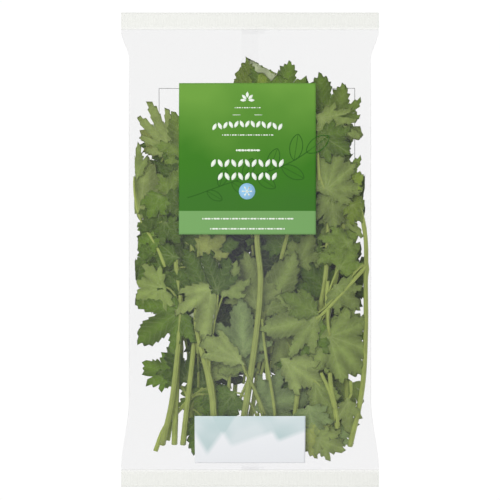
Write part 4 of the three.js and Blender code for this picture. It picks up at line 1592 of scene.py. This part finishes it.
# -------------------------------- the film
@dataclass
class FilmPacket:
    """The film: one web round the herbs, lapped along the back, with a crimped seal at each end."""

    pillow: Pillow
    film: float = 0.14
    back_share: float = 0.25  # how much of the way round each half of the back takes
    lap: float = 10.0
    lap_raise: float = 0.5  # how far the inner ply is raised over the outer one
    lap_flat: float = 2.0  # how far past the outer lip it stays up
    lap_ramp: float = 8.0  # how far past that lip it is down again
    ply: float = 0.55  # half the distance between the skins inside a seal
    columns: int = 150
    rows: int = 120
    gather: float = 0.5  # height of the gathers beside a seal
    gather_reach: float = 9.0  # how far from the seal they are highest
    gather_width: float = 80.0  # where they would die out, across the packet
    gather_phases: Point = (0.4, 2.1)  # at the top seal and at the lower one
    # each wave of the gathers: its height, length in mm, phase, and slant
    gather_waves: tuple[tuple[float, ...], ...] = ((1.0, 3.1, 1.0, 0.25), (0.7, 1.9, 2.3, -0.5))
    unevenness: float = 0.13  # height of the film's soft waves elsewhere
    seal_columns: int = 800
    seal_rows: int = 10
    seal_thickness: float = 0.6  # over its ribs
    seal_top: float = 0.8  # its upper side over the pillow's height there
    crimp_pitch: float = 1.5
    crimp: float = 0.05
    crimp_fade: float = 6.0  # how suddenly the ribs start and end

    def gathers(self, x: Array, y: Array) -> Array:
        """The soft gathers that run from the seals into the film, and its slight unevenness.

        Args:
            x: Places across the packet.
            y: Places along the packet.

        Returns:
            How far the film stands proud.
        """
        rise = np.zeros_like(x)
        for end, phase in zip((1, -1), self.gather_phases):
            d = np.maximum(self.pillow.seal_inner - end * y, 0) / self.gather_reach
            ribs = sum(
                high * np.sin(x / long + turn * phase + slant * d)
                for high, long, turn, slant in self.gather_waves
            )
            middle = 1 - (np.abs(x) / self.gather_width) ** 4
            rise += self.gather / 2 * ribs * d * np.exp(1 - d) * middle
        # two long waves across each other and a shorter one aslant, with their lengths in mm
        soft = np.sin(x / 17 + y / 23) * np.sin(y / 14 - x / 40) + 0.5 * np.sin(x / 7 - y / 11)
        return rise + self.unevenness * soft * self.pillow.fill(y)

    def web(self, round_share: Array, long_share: Array) -> Array:
        """The outside of the web.

        Args:
            round_share: From the outer lip, round the left side, the front and the right side, to
                the inner lip.
            long_share: From the lower seal to the upper one.

        Returns:
            The points.
        """
        p = self.pillow
        y = -(p.seal_inner + 1) * np.cos(math.pi * long_share)
        reach = p.half_width(y)
        half = self.lap / 2
        share = self.back_share
        turned = math.pi / 2 * np.minimum(np.minimum(round_share, 1 - round_share) / share, 1)
        over = math.pi * np.clip((round_share - share) / (1 - 2 * share), 0, 1)
        on_left, on_right = round_share < share, round_share > 1 - share
        left_x = half - (reach + half) * np.sin(turned)
        x = np.where(on_left, left_x, np.where(on_right, -left_x, -reach * np.cos(over)))
        climb = smooth((half + self.lap_ramp - x) / (self.lap_ramp - self.lap_flat))
        back = np.minimum(p.back(x, y), p.fold_height(y) - self.ply)
        back = back + np.where(on_right, self.lap_raise * climb, 0)
        front = np.maximum(p.front(x, y), p.fold_height(y) + self.ply) + self.gathers(x, y) * np.sin(over)
        return np.stack([x, y, np.where(on_left | on_right, back, front)], axis=1)

    def seal(self, end: int) -> Skin:
        """The upper side of one crimped end, ribbed along the packet.

        Args:
            end: 1 for the top seal, -1 for the lower one.

        Returns:
            A function from the two shares to points.
        """
        p = self.pillow

        def place(across: Array, along: Array) -> Array:
            """Points of the seal.

            Args:
                across: Shares of its width.
                along: Shares of its depth, upwards.

            Returns:
                The points.
            """
            x = (across - 0.5) * p.flat_width
            out = along if end > 0 else 1 - along
            y = end * (p.seal_inner + out * p.seal_depth)
            edges = smooth(out * self.crimp_fade) * smooth((1 - out) * self.crimp_fade)
            ribs = self.crimp * np.sin(math.tau * x / self.crimp_pitch) * edges
            # the free edge waves a little, by a long wave and a shorter one, in mm
            drape = 0.5 * out * np.sin(x / 19 + end) + 0.25 * out * np.sin(x / 8)
            return np.stack([x, y, p.seal_height + self.seal_top + ribs + drape], axis=1)

        return place

    def build(self) -> None:
        """Builds the web and its two seals."""
        web = sheet_mesh(self.columns, self.rows, self.web, self.film)
        for face in web.faces:
            middle = face.calc_center_median()
            face.material_index = int(middle.z < self.pillow.fold_height(middle.y))
        back = ClearFilm("oriented_polypropylene_back_ply", 0.003, 0.003, tint="fefefe", gloss=0.002)
        piece("film_web", web, [ClearFilm().build(), back.build()], ["film_packet"])
        seal_finish = CrimpedSeal().build()
        for name, end in (("seal_top", 1), ("seal_bottom", -1)):
            seal = sheet_mesh(self.seal_columns, self.seal_rows, self.seal(end), self.seal_thickness)
            piece(name, seal, [seal_finish])


# -------------------------------- what is printed on it
@dataclass
class Prints:
    """The label, the panel for writing on, and the plain ornament printed on and beside them."""

    pillow: Pillow
    label: tuple[float, float, float, float] = (-1.5, 52.5, 79.0, 87.5)  # middle, width and height
    panel: tuple[float, float, float, float] = (0.0, -110.0, 64.0, 28.0)
    facets: int = 60  # along each side of a sheet
    stand_off: float = 0.45
    thickness: float = 0.3
    ink: float = 0.05
    overprint: float = 0.02  # clearance of one ink over another
    # the small sprig on top: its middle, and each leaf's direction and reach
    crest_y: float = 86.2
    crest: tuple[Point, ...] = ((90, 3.2), (45, 2.6), (135, 2.6), (0, 2.4), (180, 2.4))
    crest_leaf: Point = (3.6, 1.7)
    rule_y: float = 77.6
    rule: Point = (4.0, 8.5)  # where the rule on each side starts and ends, from the middle
    # each row of leaves: its y, width, number of leaves, their length, and how far it arches up
    leaf_rows: tuple[tuple[float, float, int, float, float], ...] = (
        (70.4, 41, 13, 4.4, 2.0), (49.8, 43, 11, 5.0, 0.0), (42.2, 35, 9, 5.0, 0.0),
    )
    leaf_lean: float = 28.0  # degrees
    leaf_width: float = 0.46  # as a share of its length
    leaf_point: float = 0.7  # 0 for an oval, 1 for a sharp point
    # each row of dashes: its y, width, number of dashes, and size
    dash_rows: tuple[tuple[float, float, int, float], ...] = (
        (81.8, 15.5, 11, 0.9), (66.0, 30, 20, 1.0), (57.2, 14, 8, 1.7),
        (17.8, 53, 30, 1.35), (12.0, 44, 25, 1.35),
    )
    dash: Point = (1.5, 0.7)  # length and width, as shares of a row's size
    dot: Point = (0.6, 0.7)
    badge_at: Point = (-1.7, 33.6)
    badge_size: float = 9.4
    star_arm: float = 3.1
    star_knob_at: float = 2.3  # from the middle
    star_knob: Point = (1.3, 0.8)
    art_from: Point = (-36.0, 30.0)  # foot of the drawn stem
    art_reach: Point = (70.0, 30.0)  # how far it goes across and up
    art_bow: float = 1.6
    art_wave: Point = (3.0, 5.0)  # height, and turns over the stem in radians
    art_leaves: int = 9
    art_span: Point = (0.16, 0.98)  # shares of the drawn stem where its first and last leaf are
    art_splay: float = 0.9  # angle of a drawn leaf from the stem, in radians
    art_leaf: Point = (9.0, 4.4)  # length and width at the foot of the stem
    art_growth: Point = (7.0, 3.4)  # what its tip adds to them
    art_rib: int = 18  # of the 40 points round a leaf, how many its middle line has
    art_lines: tuple[float, ...] = (0.5, 0.45, 0.28)  # widths of the stem, the leaves and their middles
    rule_line: float = 0.3
    star_line: float = 0.36
    frame: tuple[Point, ...] = ((-53.0, 60.0), (-53.0, 94.0), (61.0, 94.0), (61.0, 30.0))
    frame_height: float = 0.3  # over the back skin
    frame_line: float = 0.32

    def sticker(self, size: tuple[float, float, float, float]) -> Mesh:
        """A thin sheet that follows the front skin.

        Args:
            size: The middle, width and height of the sheet.

        Returns:
            The sheet.
        """
        x0, y0, width, height = size

        def place(across: Array, along: Array) -> Array:
            """Points of the sheet's outside."""
            x, y = x0 + (across - 0.5) * width, y0 + (along - 0.5) * height
            return np.stack([x, y, self.pillow.front(x, y) + self.stand_off + self.thickness], axis=1)

        return sheet_mesh(self.facets, self.facets, place, self.thickness)

    def spot(
        self, mesh: Mesh, centre: Point, size: Point, turn: float = 0.0, sharp: float = 0.0
    ) -> None:
        """Adds an oval or pointed spot of ink.

        Args:
            mesh: The mesh that it joins.
            centre: Its middle.
            size: Its length and width.
            turn: Its direction in degrees.
            sharp: 0 for an oval, 1 for a pointed leaf.
        """
        verts = bmesh.ops.create_circle(mesh, cap_ends=True, cap_tris=True, segments=24, radius=1)["verts"]
        cos, sin = toward(turn)
        for vert in verts:
            reach = math.hypot(vert.co.x, vert.co.y)
            u = vert.co.x * size[0] / 2
            v = vert.co.y * size[1] / 2 * (abs(vert.co.y) / max(reach, 1e-6)) ** sharp
            vert.co = (centre[0] + u * cos - v * sin, centre[1] + u * sin + v * cos, 0)

    def line(self, mesh: Mesh, points: Sequence[Point], width: float) -> None:
        """Adds a line of ink.

        Args:
            mesh: The mesh that it joins.
            points: The middle of the line.
            width: Its width.
        """
        path = np.array(points, float)
        way = np.gradient(path, axis=0)
        way /= np.linalg.norm(way, axis=1)[:, None]
        normal = np.stack([-way[:, 1], way[:, 0]], axis=1)
        last = len(path) - 1
        verts = bmesh.ops.create_grid(mesh, x_segments=last, y_segments=1, size=0.5)["verts"]
        for vert in verts:
            i = round((vert.co.x + 0.5) * last)
            at = path[i] + normal[i] * vert.co.y * width
            vert.co = (at[0], at[1], 0)

    def drape(self, mesh: Mesh, height: float, skin: Skin | None = None) -> Mesh:
        """Lays flat shapes of ink on a skin and gives them their thickness.

        Args:
            mesh: The flat shapes.
            height: Height of their upper side over the skin.
            skin: The skin, if it isn't the front one.

        Returns:
            The same mesh.
        """
        co = np.array([v.co for v in mesh.verts])
        z = (skin or self.pillow.front)(co[:, 0], co[:, 1]) + height
        for vert, up in zip(mesh.verts, z):
            vert.co.z = up
        mesh.normal_update()
        bmesh.ops.solidify(mesh, geom=mesh.faces[:], thickness=self.ink)
        return mesh

    def leaf_row(self, mesh: Mesh, y: float, width: float, count: int, height: float, arch: float) -> None:
        """A row of small leaves that lean left and right in turn.

        Args:
            mesh: The mesh that they join.
            y: Height of the row on the label.
            width: Width of the row.
            count: How many leaves.
            height: Length of one leaf.
            arch: How much higher the middle is than the ends.
        """
        for i in range(count):
            share = (i + 0.5) / count
            x = self.label[0] + (share - 0.5) * width
            up = y + arch * (1 - (2 * share - 1) ** 2)
            lean = self.leaf_lean if i % 2 else -self.leaf_lean
            self.spot(mesh, (x, up), (height, height * self.leaf_width), 90 + lean, self.leaf_point)

    def dash_row(self, mesh: Mesh, y: float, width: float, count: int, height: float) -> None:
        """A row of small dashes, with a dot for every third.

        Args:
            mesh: The mesh that they join.
            y: Height of the row on the label.
            width: Width of the row.
            count: How many dashes and dots.
            height: Their size.
        """
        for i in range(count):
            x = self.label[0] + ((i + 0.5) / count - 0.5) * width
            long, wide = self.dash if i % 3 else self.dot
            self.spot(mesh, (x, y), (height * long, height * wide))

    def white_print(self) -> Mesh:
        """The white ornament on the label: leaves, dashes, rules and a small sprig on top.

        Returns:
            The ink.
        """
        mesh = bmesh.new()
        x0 = self.label[0]
        for turn, reach in self.crest:
            way = toward(turn)
            middle = (x0 + way[0] * reach, self.crest_y + way[1] * reach)
            self.spot(mesh, middle, self.crest_leaf, turn, 0.8)
        for side in (-1, 1):
            self.line(mesh, [(x0 + side * at, self.rule_y) for at in self.rule], self.rule_line)
        for row in self.leaf_rows:
            self.leaf_row(mesh, *row)
        for row in self.dash_rows:
            self.dash_row(mesh, *row)
        return self.drape(mesh, self.stand_off + self.thickness + self.ink + self.overprint)

    def line_art(self) -> Mesh:
        """A long curved stem with open leaf outlines, drawn thinly in darker green.

        Returns:
            The ink.
        """
        mesh = bmesh.new()
        stem_line, leaf_line, rib_line = self.art_lines
        share = np.linspace(0, 1, 40)
        (x0, y0), (across, up), (high, turns) = self.art_from, self.art_reach, self.art_wave
        rise = y0 + up * share**self.art_bow + high * np.sin(turns * share)
        stem = np.stack([x0 + across * share, rise], axis=1)
        self.line(mesh, stem, stem_line)
        loop = np.linspace(0, math.tau, 40)
        for i, at in enumerate(np.linspace(*self.art_span, self.art_leaves)):
            root, way = at_share(stem, float(at))
            splay = 0.0 if i == self.art_leaves - 1 else self.art_splay
            turn = math.atan2(way[1], way[0]) + (splay if i % 2 else -splay)
            length, width = (least + more * at for least, more in zip(self.art_leaf, self.art_growth))
            u = length / 2 * (1 - np.cos(loop))
            v = width / 2 * np.sin(loop) * np.abs(np.sin(loop)) ** 0.4
            cos, sin = math.cos(turn), math.sin(turn)
            around = np.stack([root[0] + u * cos - v * sin, root[1] + u * sin + v * cos], axis=1)
            self.line(mesh, around, leaf_line)
            rib = np.stack([root[0] + u * cos, root[1] + u * sin], axis=1)[: self.art_rib]
            self.line(mesh, rib, rib_line)
        return self.drape(mesh, self.stand_off + self.thickness + self.ink)

    def badge(self) -> tuple[Mesh, Mesh]:
        """The pale-blue disc on the label and the plain six-armed star on it.

        Returns:
            The disc and the star.
        """
        centre = np.array(self.badge_at)
        disc = bmesh.new()
        self.spot(disc, self.badge_at, (self.badge_size, self.badge_size))
        star = bmesh.new()
        for turn in (0, 60, 120):
            way = toward(turn)
            self.line(star, [centre + way * s for s in (-self.star_arm, 0, self.star_arm)], self.star_line)
            for side in (-1, 1):
                middle = tuple(centre + way * self.star_knob_at * side)
                self.spot(star, middle, self.star_knob, turn)
        top = self.stand_off + self.thickness + self.ink
        return self.drape(disc, top + self.overprint), self.drape(star, top + self.ink + 3 * self.overprint)

    def back_frame(self) -> Mesh:
        """A thin grey frame printed on the back skin, seen through the film above the herbs.

        Returns:
            The ink.
        """
        mesh = bmesh.new()
        for a, b in zip(self.frame, self.frame[1:]):
            self.line(mesh, np.linspace(a, b, 40), self.frame_line)
        return self.drape(mesh, self.frame_height, self.pillow.back)

    def build(self) -> None:
        """Builds the label, the panel and the prints."""
        piece("label", self.sticker(self.label), [LabelInk().build()], ["front_label"])
        piece("panel", self.sticker(self.panel), [PanelInk().build()], ["date_panel"])
        white = PlainInk("opaque_white_ink", "eef6ea").build()
        piece("label_white_print", self.white_print(), [white])
        piece("label_line_art", self.line_art(), [PlainInk("deep_green_line_ink", "2c6418").build()])
        disc, star = self.badge()
        piece("label_badge", disc, [PlainInk("pale_blue_ink", "96c8ea").build()])
        piece("label_star", star, [white])
        piece("back_frame_print", self.back_frame(), [PlainInk("grey_line_ink", "9a9a9c").build()])


# -------------------------------- floor, light and camera
@dataclass
class Studio:
    """A light table, an even white surround, one large soft light and a camera straight above."""

    floor_half: float = 3.0  # m
    floor_level: float = -0.00005  # just under the packet, so that the two never share a plane
    surround: float = 0.62
    key_watts: float = 8.5
    key_size: float = 0.9
    key_place: tuple[float, float, float] = (-0.4, 0.2, 1.1)
    frame_width: float = 0.2907  # metres of the subject across the picture
    subject_height: float = 0.008
    centre: Point = (0.0, -0.0002)  # the place that the camera is above
    lens: float = 240.0
    sensor: float = 36.0

    def floor(self) -> None:
        """Lays the light table."""
        mesh = bmesh.new()
        bmesh.ops.create_grid(mesh, x_segments=4, y_segments=4, size=self.floor_half)
        bmesh.ops.translate(mesh, vec=(0.0, 0.0, self.floor_level), verts=mesh.verts)
        data = bpy.data.meshes.new("floor")
        mesh.to_mesh(data)
        mesh.free()
        floor = bpy.data.objects.new("floor", data)
        data.materials.append(LightTable().build())
        bpy.context.scene.collection.objects.link(floor)

    def light(self) -> None:
        """Lights the white surround and hangs the soft light, which gloss doesn't mirror."""
        scene = bpy.context.scene
        world = bpy.data.worlds.new("even_white_surround")
        world.use_nodes = True
        back = world.node_tree.nodes["Background"]
        back.inputs["Color"].default_value = (1.0, 1.0, 1.0, 1.0)
        back.inputs["Strength"].default_value = self.surround
        scene.world = world
        scene.view_settings.view_transform = "Standard"
        light = bpy.data.lights.new("key", "AREA")
        light.shape = "DISK"
        light.size = self.key_size
        light.energy = self.key_watts
        key = bpy.data.objects.new("key", light)
        key.location = self.key_place
        key.visible_glossy = False
        key.rotation_euler = (-Vector(self.key_place)).to_track_quat("-Z", "Y").to_euler()
        scene.collection.objects.link(key)

    def camera(self) -> None:
        """Hangs the camera."""
        view = bpy.data.cameras.new("above")
        view.lens, view.sensor_width = self.lens, self.sensor
        camera = bpy.data.objects.new("above", view)
        camera.location = (*self.centre, self.subject_height + self.frame_width * self.lens / self.sensor)
        bpy.context.scene.collection.objects.link(camera)
        bpy.context.scene.camera = camera


def main() -> None:
    """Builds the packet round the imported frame."""
    logging.basicConfig(level=logging.INFO, format="%(name)s %(message)s")
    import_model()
    pillow = Pillow()
    FilmPacket(pillow).build()
    Prints(pillow).build()
    Herbs(pillow).build()
    studio = Studio()
    studio.floor()
    studio.light()
    studio.camera()
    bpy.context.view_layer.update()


if __name__ == "__main__":
    main()
